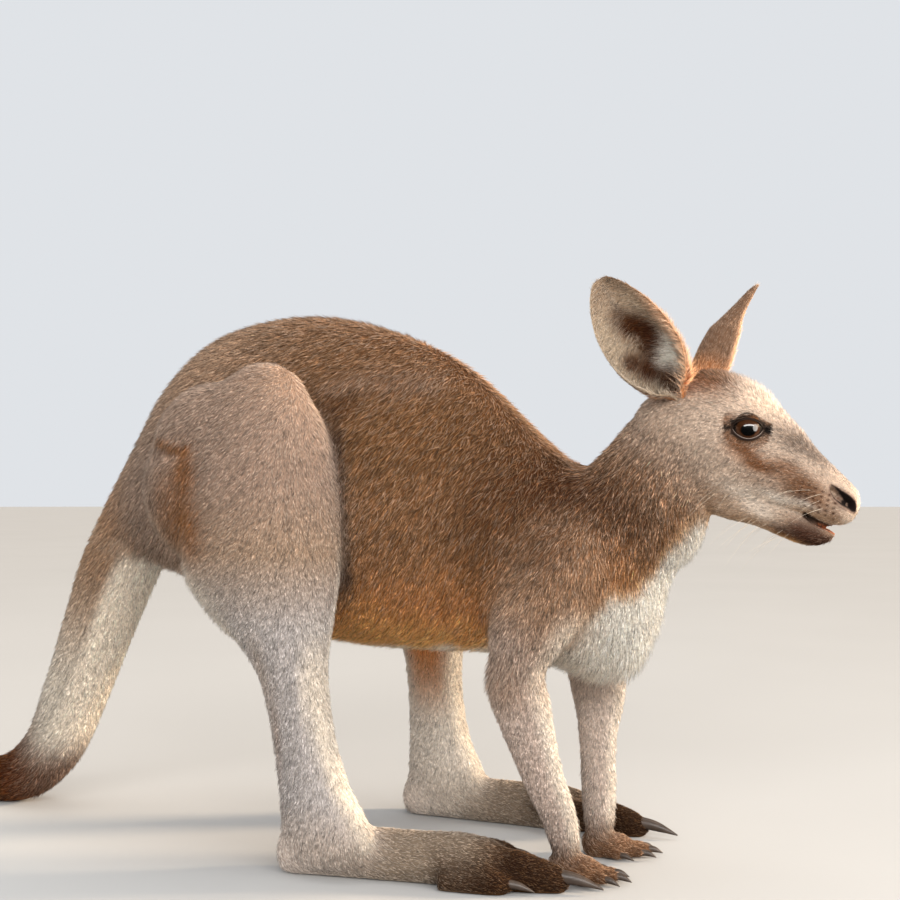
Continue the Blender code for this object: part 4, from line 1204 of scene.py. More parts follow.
def unit(vectors):
    return vectors / np.maximum(np.linalg.norm(vectors, axis=-1, keepdims=True), 1e-9)


def mirrored(points):
    """The points with both sides of the body laid over each other, outward as +Y."""
    return np.column_stack([points[:, 0], np.abs(points[:, 1]), points[:, 2]])


def spot(points, centre, radii):
    """1 at centre, falling off smoothly over radii."""
    return np.exp(-(((points - centre) / radii) ** 2).sum(1))


def bell(values, centre, width):
    """1 where values are at centre, falling off smoothly over width."""
    return np.exp(-(((values - centre) / width) ** 2))


def waves(points, size, seed):
    """A smooth pattern between about -1 and 1 with features of this size."""
    rng = np.random.default_rng(seed)
    total = np.zeros(len(points))
    for _ in range(7):
        direction = unit(rng.normal(size=3)) * rng.uniform(0.7, 1.4) * 2 * math.pi / size
        total += np.sin(points @ direction + rng.uniform(0, 2 * math.pi))
    return total / 3.2


class Surface:
    """A mesh's points and normals, with smoothing over its edges."""

    def __init__(self, mesh):
        self.mesh = mesh
        self.points = read(mesh.vertices, "co", 3).astype(float)
        self.edges = read(mesh.edges, "vertices", 2, np.int32)
        self.degree = np.maximum(np.bincount(self.edges.ravel(), minlength=len(self.points)), 1)
        self.find_normals()

    def find_normals(self):
        self.mesh.vertices.foreach_set("co", self.points.astype(np.float32).ravel())
        self.mesh.update()
        self.normals = read(self.mesh.vertex_normals, "vector", 3).astype(float)

    def smoothed(self, values, rounds, share=0.5):
        """values moved towards their neighbours' mean, this often, by this share."""
        first, second = self.edges.T
        count = len(self.points)
        values = np.array(values, float).reshape(count, -1)
        share = np.broadcast_to(share, count)[:, None]
        for _ in range(rounds):
            mean = np.empty_like(values)
            for k in range(values.shape[1]):
                mean[:, k] = np.bincount(first, values[second, k], count)
                mean[:, k] += np.bincount(second, values[first, k], count)
            mean /= self.degree[:, None]
            values += (mean - values) * share
        return values

    def push(self, distance):
        """Moves each point along its normal."""
        self.points += self.normals * np.asarray(distance)[:, None]


def kind_of(part):
    """trunk, neck, head, jaw, tail, thigh, shank, foot, toe, upper_arm, forearm or paw."""
    if part.startswith("finger"):
        return "paw"
    return next(kind for kind in COAT if part.startswith(kind))


def distances(surface, parts):
    """How far each point lies from each part's surface. Far ones count as REACH."""
    found = np.full((len(parts), len(surface.points)), REACH)
    for row, rings in enumerate(parts.values()):
        points, faces = loft_arrays(rings)
        tree = BVHTree.FromPolygons(points.tolist(), faces.tolist())
        near = (surface.points > points.min(0) - REACH) & (surface.points < points.max(0) + REACH)
        for index in np.flatnonzero(near.all(1)):
            distance = tree.find_nearest(surface.points[index], REACH)[3]
            if distance is not None:
                found[row, index] = distance
    return found


def join_radius(first, second):
    """How widely two kinds of part blend where they meet."""
    return JOIN_RADII.get((first, second), JOIN_RADII.get((second, first), 0.004))


def blend_joins(surface, parts, distance):
    """Smooths the skin where two parts meet, by as much as such parts blend."""
    names = list(parts)
    order = np.argsort(distance, axis=0)[:2]
    columns = np.arange(len(surface.points))
    radii = np.zeros((len(names), len(names)))
    for i, first in enumerate(names):
        for j, second in enumerate(names):
            radii[i, j] = join_radius(kind_of(first), kind_of(second))
    radius = radii[order[0], order[1]]
    share = bell(distance[order[1], columns], 0, radius)
    surface.points = surface.smoothed(surface.points, 6, 0.5)
    for least in JOIN_STEPS:
        strong = np.where(radius > least, share, 0) * 0.5
        surface.points = surface.smoothed(surface.points, JOIN_ROUNDS, strong)
    on_floor(surface.points)
    surface.find_normals()


def refine(mesh, zones):
    """Splits the edges inside each zone, given as (centre, radius, cuts)."""
    work = bmesh.new()
    work.from_mesh(mesh)
    for centre, radius, cuts in zones:
        centre = Vector(centre)
        inside = {v for v in work.verts if (v.co - centre).length < radius}
        edges = {e for v in inside for e in v.link_edges if e.other_vert(v) in inside}
        bmesh.ops.subdivide_edges(work, edges=list(edges), cuts=cuts, use_grid_fill=True)
    work.to_mesh(mesh)
    work.free()


def polyline_distance(points, path):
    """(distance, place along it from 0 to 1) of each point from a line through path."""
    path = np.asarray(path, float)
    best = np.full(len(points), np.inf)
    along = np.zeros(len(points))
    for k, (start, end) in enumerate(zip(path[:-1], path[1:], strict=True)):
        run = end - start
        t = np.clip((points - start) @ run / (run @ run), 0, 1)
        away = np.linalg.norm(points - start - t[:, None] * run, axis=1)
        nearer = away < best
        best[nearer] = away[nearer]
        along[nearer] = (k + t[nearer]) / (len(path) - 1)
    return best, along


# ---------------------------------------------------------------- sculpting


def eye_axes(side):
    """Centre of an eye, and its axes: forward along the lids, up across them, outwards."""
    along, out, up = EYE_PLACE
    centre = from_head([(along, side * out, up)])[0]
    outward = unit(HEAD_AXES @ (np.array(EYE_OUTWARD) * (1, side, 1)))
    forward = HEAD_AXES @ np.array((math.cos(EYE_TILT), 0, math.sin(EYE_TILT)))
    forward = unit(forward - outward * (forward @ outward))
    upward = np.cross(outward, forward) * side
    upward *= np.sign(upward[2])
    return centre, np.stack([forward, upward, outward])


def onto_ball(local, radius=EYE_RADIUS):
    """Places on an eye's axes, moved along their rays to this far from its centre."""
    far = np.maximum(np.linalg.norm(local, axis=1), 1e-4)
    return local * (radius / far)[:, None]


def lid_arc(upper):
    """A lid's edge as an arc: the way that it bulges, its rise over the corners, its radius."""
    rise, sign = (UPPER_LID, 1) if upper else (LOWER_LID, -1)
    return sign, rise, (LID_HALF**2 + rise**2) / (2 * rise)


def lid_gap(across, up):
    """How far outside the opening between the lids a place is, less than 0 inside."""
    arcs = []
    for sign, rise, radius in (lid_arc(True), lid_arc(False)):
        arcs.append(np.hypot(across, up - sign * (rise - radius)) - radius)
    return np.maximum(*arcs)


def groove_distance(groove, places):
    """How far places on the head lie from a groove, and how far along it. One that runs
    through the head is seen from the side."""
    path, _, _, through = groove
    seen = (1, 0, 1) if through else (1, 1, 1)
    return polyline_distance(places * seen, np.array(path) * seen)


def groove_width(groove, along):
    """Half the width of a groove at places from 0 to 1 along it."""
    least, greatest = groove[1]
    return least + (greatest - least) * np.sin(math.pi * np.clip(along, 0, 1)) ** 0.7


def sculpt_eye(surface, side):
    """Lays lids over the eyeball, and opens the skin between them."""
    centre, axes = eye_axes(side)
    local = (surface.points - centre) @ axes.T
    near = (np.linalg.norm(local, axis=1) < EYE_REACH) & (local[:, 2] > 0)
    local = local[near]
    distance = np.linalg.norm(local, axis=1)
    across, up, _ = onto_ball(local).T
    gap = lid_gap(across, up)
    lid = EYE_RADIUS - SOCKET + (SOCKET + LID_THICKNESS) * smooth_step(*LID_EDGE, gap)
    for outside, width, depth, sign in LID_FOLDS:
        lid -= depth * bell(gap, outside, width) * (up * sign > 0)
    polar = np.degrees(np.arccos(np.clip(local[:, 2] / distance, -1, 1)))
    share = fade(*LID_BLEND, gap) * fade(*LID_REACH, polar)
    wanted = distance + (lid - distance) * share
    surface.points[near] += ((local / distance[:, None]) * (wanted - distance)[:, None]) @ axes


def rise(forms, places):
    """How far a list of forms raises the skin at places."""
    return sum(height * spot(places, centre, radii) for centre, radii, height in forms)


def sculpt_head(surface):
    """Brow, cheekbone, whisker pads, nostrils and mouth."""
    local = to_head(surface.points)
    near = local[:, 0] > HEAD_BACK
    surface.push(rise(HEAD_FORMS, mirrored(local)) * near)
    surface.find_normals()
    flipped = mirrored(to_head(surface.points))
    for groove in (NOSTRIL, MOUTH, PHILTRUM):
        away, along = groove_distance(groove, flipped)
        dip = fade(0.45, 1.0, away / groove_width(groove, along))
        surface.push(-groove[2] * dip * near)
    surface.find_normals()
    for side in SIDE_NAMES:
        sculpt_eye(surface, side)
    surface.find_normals()


def sculpt_body(surface):
    """Shoulder blade, ribs, folds and tendons."""
    flipped = mirrored(surface.points)
    push = rise(BODY_FORMS, flipped)
    for path, radius, height in BODY_LINES:
        away, along = polyline_distance(flipped, path)
        ends = np.sin(math.pi * np.clip(along, 0.02, 0.98)) ** 0.5
        push += height * ends * bell(away, 0, radius)
    surface.push(push)
    on_floor(surface.points)
    surface.find_normals()


def whole_parts():
    """Every part's rings over its full length, by name."""
    parts = {"trunk": part_slices("trunk", TRUNK), "neck": neck_rings(WHOLE)}
    parts["head"] = part_slices("head", HEAD, from_head)
    parts["jaw"] = part_slices("jaw", JAW, from_head)
    parts["tail"] = tail_rings()
    for side, name in SIDE_NAMES.items():
        parts["thigh_" + name] = thigh_rings(side)
        parts["upper_arm_" + name] = upper_arm_rings(side)
        parts.update(foot_parts(side, name))
        parts.update(paw_parts(side, name))
        parts["shank_" + name] = leg_rings(side, WHOLE)
        parts["forearm_" + name] = forearm_rings(side, WHOLE)
    return parts


def make_skin():
    """The skin's surface, its parts' rings and each point's distance from each part."""
    skin = joined_shells()
    zones = [(eye_axes(side)[0], *EYE_ZONE) for side in SIDE_NAMES]
    zones.append((from_head([MOUTH_PLACE])[0], *MOUTH_ZONE))
    parts = whole_parts()
    surface = Surface(skin.data)
    blend_joins(surface, parts, distances(surface, parts))
    sculpt_body(surface)
    refine(skin.data, zones)
    surface = Surface(skin.data)
    sculpt_head(surface)
    return skin, surface, parts, distances(surface, parts)


# ---------------------------------------------------------------- markings


def shares_of_kinds(parts, distance):
    """For each kind of part, how far each point belongs to it, from 0 to 1."""
    away = distance - distance.min(0)
    near = np.exp(-away / PART_BLUR)
    near /= near.sum(0)
    shares = {kind: np.zeros(distance.shape[1]) for kind in COAT}
    for part, share in zip(parts, near, strict=True):
        shares[kind_of(part)] += share
    return shares


def head_share(shares):
    """How far each point belongs to the head or its jaw."""
    return sum(shares[kind] for kind in HEAD_KINDS)


class Paint:
    """Colours of a set of points, painted over one another."""

    def __init__(self, count, name):
        self.rgb = np.tile(np.array(PALETTE[name]), (count, 1))

    def over(self, name, share):
        share = np.clip(share, 0, 1)[:, None]
        self.rgb += (np.array(PALETTE[name]) - self.rgb) * share

    def marks(self, marks, places, blur=0.0):
        """Marks of (colour, centre, radii, strength), each with a firm core."""
        for name, centre, radii, strength in marks:
            self.over(name, strength * np.minimum(1.35 * spot(places, centre, radii), 1) + blur)


def above_border(points, patches):
    """How high points lie over the border between brown and white, which wanders a little."""
    return points[:, 2] - np.interp(points[:, 0], *np.transpose(BORDER)) + BORDER_WANDER * patches


def paint_throat(paint, above, share):
    """The rich edge along the white of the throat, and the glow of light next to it."""
    paint.over("throat_edge", share * 0.6 * bell(above, 0.012, 0.012))
    paint.over("glow", share * 0.7 * bell(above, 0.003, 0.005))


def torso_colours(points, normals, patches):
    """The trunk's colours: brown above, white below, and a painted warm backlight low along the
    border.
    """
    above = above_border(points, patches)
    fore = smooth_step(0.19, 0.27, points[:, 0])
    paint = Paint(len(points), "flank")
    paint.over("low_flank", fade(0.02, 0.11, above))
    paint.over("upper_flank", smooth_step(0.13, 0.2, above) * (1 - fore))
    paint.over("back", smooth_step(0.3, 0.92, normals[:, 2]) * (points[:, 2] > 0.3))
    paint.marks(BODY_MARKS["trunk"], mirrored(points))
    # Painted warm backlight along the belly's edge, just over the border.
    backlight_top = 0.04 + 0.05 * fade(0.0, 0.15, points[:, 0])
    ahead = smooth_step(-0.13, -0.06, points[:, 0]) * (1 - fore)
    paint.over("backlit_orange", 0.9 * fade(0.0, 1.0, above / backlight_top) * ahead)
    paint_throat(paint, above, fore)
    paint.over("belly", (1 - fore) * fade(-0.01, 0.01, above))
    paint.over("chest", fore * fade(*CHEST_EDGE, above))
    low = smooth_step(0.15, 0.19, points[:, 0]) * fade(0.195, 0.215, points[:, 2])
    paint.over("chest", low)
    # Painted shade in the fold of the flank in front of the thigh.
    paint.over("crease_shade", 0.9 * side_line(points, FLANK_FOLD, 0.004, 0.014))
    return paint.rgb


def side_line(points, line, core, reach):
    """1 along a line drawn on the animal's sides, fading at its ends, and 0 beyond reach."""
    away, along = polyline_distance(points * (1, 0, 1), line)
    on_side = smooth_step(0.045, 0.065, np.abs(points[:, 1]))
    ends = smooth_step(0.0, 0.25, along) * fade(0.75, 1.0, along)
    return on_side * ends * fade(core, reach, away)


def neck_colours(points, normals, patches):
    above = above_border(points, patches)
    paint = Paint(len(points), "neck")
    paint.over("nape", 0.8 * smooth_step(0.25, 0.9, normals[:, 2]))
    paint.marks(BODY_MARKS["neck"], mirrored(points))
    paint_throat(paint, above, 1.0)
    paint.over("chest", fade(*CHEST_EDGE, above))
    return paint.rgb


def leg_colours(points, normals, kind):
    """The hind leg's colours by height, then its patches and its pale inner side."""
    paint = Paint(len(points), "shin")
    ladder = np.array([PALETTE[name] for name in LEG_COLOURS])
    for channel in range(3):
        paint.rgb[:, channel] = np.interp(points[:, 2], LEG_HEIGHTS, ladder[:, channel])
    low = fade(0.16, 0.24, points[:, 2])
    paint.over("shin_front", low * smooth_step(0.35, 0.8, normals[:, 0]))
    paint.marks(BODY_MARKS[kind], mirrored(points))
    # Painted shade along the crease behind the thigh, in the patch's rust colour.
    paint.over("thigh_patch", 0.9 * side_line(points, THIGH_CREASE, 0.001, 0.007))
    outward = normals[:, 1] * np.sign(points[:, 1])
    inside = fade(-0.5, 0.1, outward)
    inside *= fade(0.25, 0.34, points[:, 2])
    paint.over("belly", 0.75 * inside)
    middle = fade(0.2, 0.85, np.abs(normals[:, 0]))
    paint.over("leg_inside", 0.95 * inside * middle * smooth_step(0.09, 0.2, points[:, 2]))
    return paint.rgb


def foreleg_colours(points, normals, kind):
    paint = Paint(len(points), kind)
    paint.marks(BODY_MARKS[kind], mirrored(points))
    front = smooth_step(0.25, 0.85, normals[:, 0]) * fade(0.215, 0.245, points[:, 2])
    paint.over("forearm_front", 0.75 * front)
    outward = normals[:, 1] * np.sign(points[:, 1])
    paint.over("belly", 0.2 * fade(-0.6, 0.2, outward) * (1 - front))
    if kind == "forearm":
        paint.over("upper_arm", 0.6 * smooth_step(0.13, 0.2, points[:, 2]))
        paint.over("paw", 0.8 * fade(0.01, 0.045, points[:, 2]))
    return paint.rgb


def tail_colours(points, normals):
    paint = Paint(len(points), "tail")
    paint.over("tail_middle", fade(0.12, 0.28, points[:, 2]))
    under = smooth_step(0.18, 0.55, normals[:, 0] - 0.4 * normals[:, 2])
    under *= fade(0.25, 0.32, points[:, 2])
    paint.over("tail_pale", under * smooth_step(0.05, 0.1, points[:, 2]))
    paint.over("tail_low", fade(-0.4, -0.335, points[:, 0]))
    paint.over("tail_low", 0.8 * fade(0.035, 0.085, points[:, 2]))
    paint.over("tail_tip", fade(-0.6, -0.42, points[:, 0]))
    return paint.rgb


def foot_colours(places):
    """The hind foot's colours by place along it, in its own axes."""
    paint = Paint(len(places), "foot")
    paint.over("hock", fade(0.02, 0.08, places[:, 0]))
    paint.over("toes", smooth_step(0.15, 0.2, places[:, 0] - 0.5 * places[:, 2]))
    return paint.rgb


def head_colours(places, normals, patches):
    """The head's colours, in its own axes."""
    flipped = mirrored(places)
    flipped[:, 2] += 0.0015 * patches
    paint = Paint(len(places), "cheek")
    paint.marks(HEAD_MARKS, flipped)
    paint.over("jaw", 0.85 * fade(-0.9, -0.45, normals[:, 2]))
    return paint.rgb


def jaw_colours(places):
    paint = Paint(len(places), "jaw")
    paint.marks(JAW_MARKS, mirrored(places))
    return paint.rgb


def paint_lids(paint, points, near):
    """The dark patch round each eye, the black lids, and the warm light on the upper one."""
    for side in SIDE_NAMES:
        centre, axes = eye_axes(side)
        local = (points - centre) @ axes.T
        between = between_corners(local)
        local = onto_ball(local)
        gap = lid_gap(local[:, 0], local[:, 1])
        facing = (local[:, 2] > 0) & (np.linalg.norm(points - centre, axis=1) < 0.021) & near
        paint.over("eye_patch", facing * 0.7 * fade(0.002, 0.0055, gap))
        for name, place, radii, strength in LID_MARKS:
            paint.over(name, facing * strength * 1.3 * spot(local, place, radii))
        upper = np.where(local[:, 1] > 0, UPPER_LID_EXTRA, 0.0)
        paint.over("lid", between * facing * fade(0.001, 0.0022, gap - upper))
        paint.over("lid_warm", facing * 0.8 * spot(local, *WARM_LID) * (gap > UPPER_LID_EXTRA))


def paint_nose(paint, flipped, near):
    """A painted highlight along the edges of the nose's flat top, the nostrils' bare skin, and painted
    shade inside the nostrils.
    """
    lit_ridge, _ = polyline_distance(flipped, RIDGE)
    # Painted highlight along the edges of the nose's flat top.
    paint.over("lit_ridge", 0.85 * near * fade(0.001, 0.0024, lit_ridge))
    away, along = groove_distance(NOSTRIL, flipped)
    wide = groove_width(NOSTRIL, along)
    paint.over("nose_skin", near * fade(1.15, 1.6, away / wide))
    # Painted shade inside the nostrils.
    paint.over("nostril", near * fade(0.95, 1.15, away / wide))


def paint_mouth(paint, flipped, near):
    """The mouth's dark edge, and painted warm light on the lower lip's edge in front."""
    away, _ = groove_distance(MOUTH, flipped)
    paint.over("mouth_edge", 0.9 * near * fade(0.0018, 0.0036, away))
    below = smooth_step(-0.0004, 0.0008, mouth_height(flipped) - flipped[:, 2])
    front = smooth_step(0.13, 0.142, flipped[:, 0])
    # Painted warm light on the lower lip's edge in front.
    paint.over("mouth", near * fade(0.0018, 0.003, away) * below * front)


def paint_dots(paint, flipped, near):
    """The dark dots in rows that the lip's whiskers grow from."""
    for row in range(DOT_ROWS):
        for k in range(DOTS_IN_ROW):
            dot = np.array(FIRST_DOT) + np.array(DOT_STEP) * k + np.array(DOT_ROW_STEP) * row
            paint.over("chin", near * (0.9 * spot(flipped, dot, DOT_RADII)))


def head_details(rgb, points, near):
    """rgb with the head's small details painted over it, where near is true."""
    paint = Paint(len(points), "cheek")
    paint.rgb = rgb
    flipped = mirrored(to_head(points))
    paint_lids(paint, points, near)
    paint_nose(paint, flipped, near)
    paint_mouth(paint, flipped, near)
    paint_dots(paint, flipped, near)
    return paint.rgb


def between_corners(local):
    """1 between the corners of the eye and 0 beyond them, for places on the eye's axes."""
    return fade(1.04, 1.18, np.abs(local[:, 0]) / LID_HALF)


def mouth_height(places):
    """How high the mouth's line runs, at places along the head."""
    line = np.array(MOUTH[0])
    return np.interp(places[:, 0], line[:, 0], line[:, 2])


def paint_coat(surface, shares):
    """The colour of the coat at each point of the skin."""
    points, normals = surface.points, surface.normals
    patches = waves(points, PATCH_SIZE, SEED)
    in_head, head_normals = to_head(points), normals @ HEAD_AXES
    rgb = np.zeros_like(points)
    colours = {
        "trunk": torso_colours(points, normals, patches),
        "neck": neck_colours(points, normals, patches),
        "head": head_colours(in_head, head_normals, patches),
        "jaw": jaw_colours(in_head),
        "tail": tail_colours(points, normals),
        "thigh": leg_colours(points, normals, "thigh"),
        "shank": leg_colours(points, normals, "shank"),
        "upper_arm": foreleg_colours(points, normals, "upper_arm"),
        "forearm": foreleg_colours(points, normals, "forearm"),
    }
    left = points[:, 1] > 0
    own = np.empty_like(points)
    for side in SIDE_NAMES:
        back = placed_by(foot_matrix(side).inverted())
        here = left == (side > 0)
        own[here] = back(points[here])
    colours["foot"] = foot_colours(own)
    colours["toe"] = np.tile(PALETTE["toes"], (len(points), 1))
    colours["paw"] = np.tile(PALETTE["paw"], (len(points), 1))
    for kind, share in shares.items():
        rgb += colours[kind] * share[:, None]
    rgb *= 1 + MOTTLE * waves(points, MOTTLE_SIZE, SEED + 1)[:, None]
    return head_details(rgb, points, head_share(shares) > 0.3)


# ---------------------------------------------------------------- the lie of the coat


def flow(surface, shares):
    """The way the coat lies at each point, along the skin."""
    points = surface.points
    flipped = mirrored(points)
    in_head = mirrored(to_head(points))
    side = np.where(points[:, 1] < 0, -1.0, 1.0)
    total = np.zeros_like(points)
    for kind, share in shares.items():
        way = np.tile(LIE[kind], (len(points), 1)).astype(float)
        places = in_head if kind in HEAD_KINDS else flipped
        for name, centre, radii, direction, strength in LIE_TURNS:
            if name == kind:
                way += strength * spot(places, centre, radii)[:, None] * np.array(direction)
        way = unit(way)
        way[:, 1] *= side
        if kind in HEAD_KINDS:
            way = way @ HEAD_AXES.T
        if kind == "tail":
            way = tail_way(points)
        total += way * share[:, None]
    total = on_skin(total, surface.normals)
    total = surface.smoothed(total, FLOW_ROUNDS)
    return on_skin(total, surface.normals)


def tail_way(points):
    """Along the tail, towards its tip."""
    line = np.array(on_middle(TAIL))[:, :3]
    ahead = unit(np.gradient(line, axis=0))
    nearest = np.argmin(np.linalg.norm(points[:, None, :] - line[None], axis=2), axis=1)
    return ahead[nearest]


def on_skin(ways, normals):
    return unit(ways - normals * (ways * normals).sum(1)[:, None])


def coat_sizes(surface, shares):
    """Length, width, spacing and lift of the tufts, and how they differ, at each point."""
    count = len(surface.points)
    flipped, in_head = mirrored(surface.points), mirrored(to_head(surface.points))
    sizes = np.zeros((5, count))
    for kind, share in shares.items():
        sizes += np.array(COAT[kind])[:, None] * share
    grizzle = sum(GRIZZLE[kind] * share for kind, share in shares.items())
    longer, lift = np.ones(count), np.zeros(count)
    for kind, centre, radii, times, more in LENGTHS:
        places = in_head if kind in HEAD_KINDS else flipped
        share = spot(places, centre, radii)
        share *= shares[kind] if kind in HEAD_KINDS else 1 - head_share(shares)
        longer *= 1 + (times - 1) * share
        lift += more * share
    sizes[LENGTH] *= longer
    sizes[LIFT] += lift
    return sizes, grizzle


def bare(surface, shares):
    """True where nothing grows: eyes, nostrils, the mouth's inside and the soles."""
    points = surface.points
    found = (points[:, 2] < 0.0022) | (surface.normals[:, 2] < -0.8) & (points[:, 2] < 0.008)
    flipped = mirrored(to_head(points))
    near = head_share(shares) > 0.3
    for groove, share in ((NOSTRIL, 1.3), (MOUTH, 1.15)):
        away, along = groove_distance(groove, flipped)
        found |= near & (away < share * groove_width(groove, along))
    for side in SIDE_NAMES:
        centre, axes = eye_axes(side)
        local = (points - centre) @ axes.T
        far = np.linalg.norm(local, axis=1)
        between = between_corners(local) > 0.5
        local = onto_ball(local)
        inside = (lid_gap(local[:, 0], local[:, 1]) < 0.0016) & (local[:, 2] > 0)
        found |= inside & (far < 0.0175) & between
    return found


# ---------------------------------------------------------------- tufts


def triangles_of(mesh):
    mesh.calc_loop_triangles()
    return read(mesh.loop_triangles, "vertices", 3, np.int32)


def scatter(points, triangles, density, rng):
    """Evenly random places on a mesh: their triangles and corner weights."""
    a, b, c = (points[triangles[:, k]] for k in range(3))
    area = np.linalg.norm(np.cross(b - a, c - a), axis=1) / 2
    share = np.cumsum(area * density[triangles].mean(1))
    count = int(share[-1])
    spots = (np.arange(count) + rng.random(count)) * (share[-1] / count)
    chosen = np.minimum(np.searchsorted(share, spots), len(triangles) - 1)
    first, second = rng.random((2, count))
    over = first + second > 1
    first[over], second[over] = 1 - first[over], 1 - second[over]
    return chosen, np.stack([1 - first - second, first, second], axis=1)


def tuft_arrays(roots, ways, normals, length, width, lift):
    """(points, triangles) of spikes. Each has three roots sunk in the skin, and a tip."""
    side = np.cross(normals, ways)
    raised = ways * np.cos(lift)[:, None] + normals * np.sin(lift)[:, None]
    sunk = roots - normals * (ROOT_DEPTH + TUFT_SINK * width)[:, None]
    ring = [
        sunk + side * (width / 2)[:, None],
        sunk - side * (width / 2)[:, None],
        sunk + normals * (TUFT_RIDGE * width)[:, None] - ways * (TUFT_BACK * width)[:, None],
    ]
    tip = roots + raised * length[:, None]
    tip -= normals * (TUFT_DROOP * length)[:, None]
    tip[:, 2] = np.maximum(tip[:, 2], LEAST_HEIGHT)
    points = np.stack([*ring, tip], axis=1).reshape(-1, 3)
    start = 4 * np.arange(len(roots))[:, None, None]
    return points, (start + TUFT_FACES).reshape(-1, 3)


def deeper(rgb, power, scale):
    """The colours raised to a power and scaled, which changes the dark ones most."""
    return scale * np.clip(rgb, 0, 1) ** power


def set_colours(mesh, rgb, grizzle):
    """Colours the mesh's points, and keeps in alpha how grizzled each is."""
    layer = mesh.color_attributes.new("Coat", "FLOAT_COLOR", "POINT")
    rgba = np.column_stack([np.clip(rgb, 0, 1), grizzle]).astype(np.float32)
    layer.data.foreach_set("color", rgba.ravel())


def set_patches(mesh, places):
    """The OFBake map: each tuft is a patch at its root's place on the skin's unwrap."""
    corners = np.array([(-1, -1), (1, -1), (0, -0.2), (0, 1)]) * PATCH / 2
    offsets = corners[TUFT_FACES]
    offsets[0] = offsets[0] * 0.2 + 0.4 * PATCH
    uv = np.clip(places, PATCH, 1 - PATCH)[:, None, None, :] + offsets[None]
    layer = mesh.uv_layers.new(name="OFBake")
    layer.data.foreach_set("uv", uv.astype(np.float32).ravel())


def unwrap(points, parts, nearest):
    """Each point's share round its part and along it, from 0 to 1."""
    places = np.zeros((len(points), 2))
    for number, rings in enumerate(parts.values()):
        here = np.flatnonzero(nearest == number)
        loft_points, faces = loft_arrays(rings)
        tree = BVHTree.FromPolygons(loft_points.tolist(), faces.tolist())
        rows, columns = rings.shape[:2]
        walls = (rows - 1) * columns
        found = np.array([tree.find_nearest(point)[2] for point in points[here]], int)
        if not len(here):
            continue
        found = np.where(found < 2 * walls, found % walls, found)
        row = np.clip(found // columns, 0, rows - 2)
        k = found % columns
        row[found >= 2 * walls + columns] = rows - 2
        row[(found >= 2 * walls) & (found < 2 * walls + columns)] = 0
        corner, after = rings[row, k], rings[row, (k + 1) % columns]
        beyond = rings[row + 1, k]
        offset = points[here] - corner
        across, along = after - corner, beyond - corner
        s = (offset * across).sum(1) / np.maximum((across**2).sum(1), 1e-12)
        t = (offset * along).sum(1) / np.maximum((along**2).sum(1), 1e-12)
        places[here, 0] = (k + np.clip(s, 0, 1)) / columns
        places[here, 1] = (row + np.clip(t, 0, 1)) / (rows - 1)
    return places


# ---------------------------------------------------------------- the coat


def tinted(rgb, grizzle, rng):
    """Each tuft's own tint: lighter or darker, and here and there nearly black or pale. The
    tufts differ least where the coat is white."""
    count = len(rgb)
    grizzle = grizzle * (WHITE_GRIZZLE - rgb.mean(1))
    rgb = rgb * np.exp(grizzle * rng.normal(size=count))[:, None]
    kind = rng.random(count)
    dark = kind < DARK_CHANCE * grizzle
    pale = kind > 1 - PALE_CHANCE * grizzle
    rgb[dark] *= DARK_SHADE
    paler = PALE_SHARE * np.clip(rgb[pale].mean(1) / DARK_COAT, 0, 1)
    rgb[pale] += (np.array(PALE_TIP) - rgb[pale]) * paler[:, None]
    return rgb


class Coat:
    """Where each tuft grows and how, over the whole skin."""

    def __init__(self, points, normals, triangles, fields, rng):
        density = np.where(fields["bare"], 0, 1 / fields["sizes"][SPACING] ** 2)
        chosen, weights = scatter(points, triangles, density * COAT_SHARE, rng)
        corners = triangles[chosen]

        def at(values):
            return (values[corners] * weights.reshape(*weights.shape, *[1] * (values.ndim - 1))).sum(1)

        self.roots = at(points)
        self.normals = unit(at(normals))
        self.ways = on_skin(at(fields["flow"]), self.normals)
        self.sizes = at(fields["sizes"].T).T
        self.rgb = at(fields["rgb"])
        self.grizzle = at(fields["grizzle"])
        nearest = corners[np.arange(len(corners)), weights.argmax(1)]
        self.part = fields["part"][nearest]
        self.places = fields["places"][nearest]
        self.ruffle(rng)
        self.rgb = tinted(self.rgb, self.grizzle, rng)

    def ruffle(self, rng):
        """Turns the tufts a little: together in locks, and each by itself."""
        count = len(self.roots)
        lock = self.sizes[LENGTH].mean() * LOCK_SIZE
        turn = LOCK_TURN * waves(self.roots, lock, SEED + 2) + OWN_TURN * rng.normal(size=count)
        side = np.cross(self.normals, self.ways)
        self.ways = self.ways * np.cos(turn)[:, None] + side * np.sin(turn)[:, None]
        lift = self.sizes[LIFT] + LOCK_LIFT * waves(self.roots, lock * 1.3, SEED + 3)
        self.sizes[LIFT] = np.clip(lift + OWN_LIFT * rng.normal(size=count), *LIFT_RANGE)
        self.sizes[LENGTH] *= rng.uniform(*LENGTH_RANGE, count)
        self.sizes[WIDTH] *= rng.uniform(*WIDTH_RANGE, count)

    def make(self, name, chosen, places, slot_name):
        """One piece of the coat, from the chosen tufts."""
        width = self.sizes[WIDTH][chosen]
        points, faces = tuft_arrays(
            self.roots[chosen], self.ways[chosen], self.normals[chosen],
            self.sizes[LENGTH][chosen], width, np.radians(self.sizes[LIFT][chosen]),
        )
        mesh = new_mesh(name, points, faces)
        rgb = np.repeat(deeper(self.rgb[chosen], *ROOT_DEPTHS), 4, axis=0)
        rgb[3::4] = deeper(self.rgb[chosen], *TIP_DEPTHS)
        set_colours(mesh, rgb, np.repeat(self.grizzle[chosen], 4))
        set_patches(mesh, places)
        mesh.shade_smooth()
        return finished(new_object(name, mesh), tuft_material(), slot_name)


def cell(places, number, count):
    """Places moved into one of count cells of the unit square."""
    columns = math.ceil(math.sqrt(count))
    rows = math.ceil(count / columns)
    corner = np.array((number % columns, number // columns))
    return (places * 0.96 + 0.02 + corner) / (columns, rows)


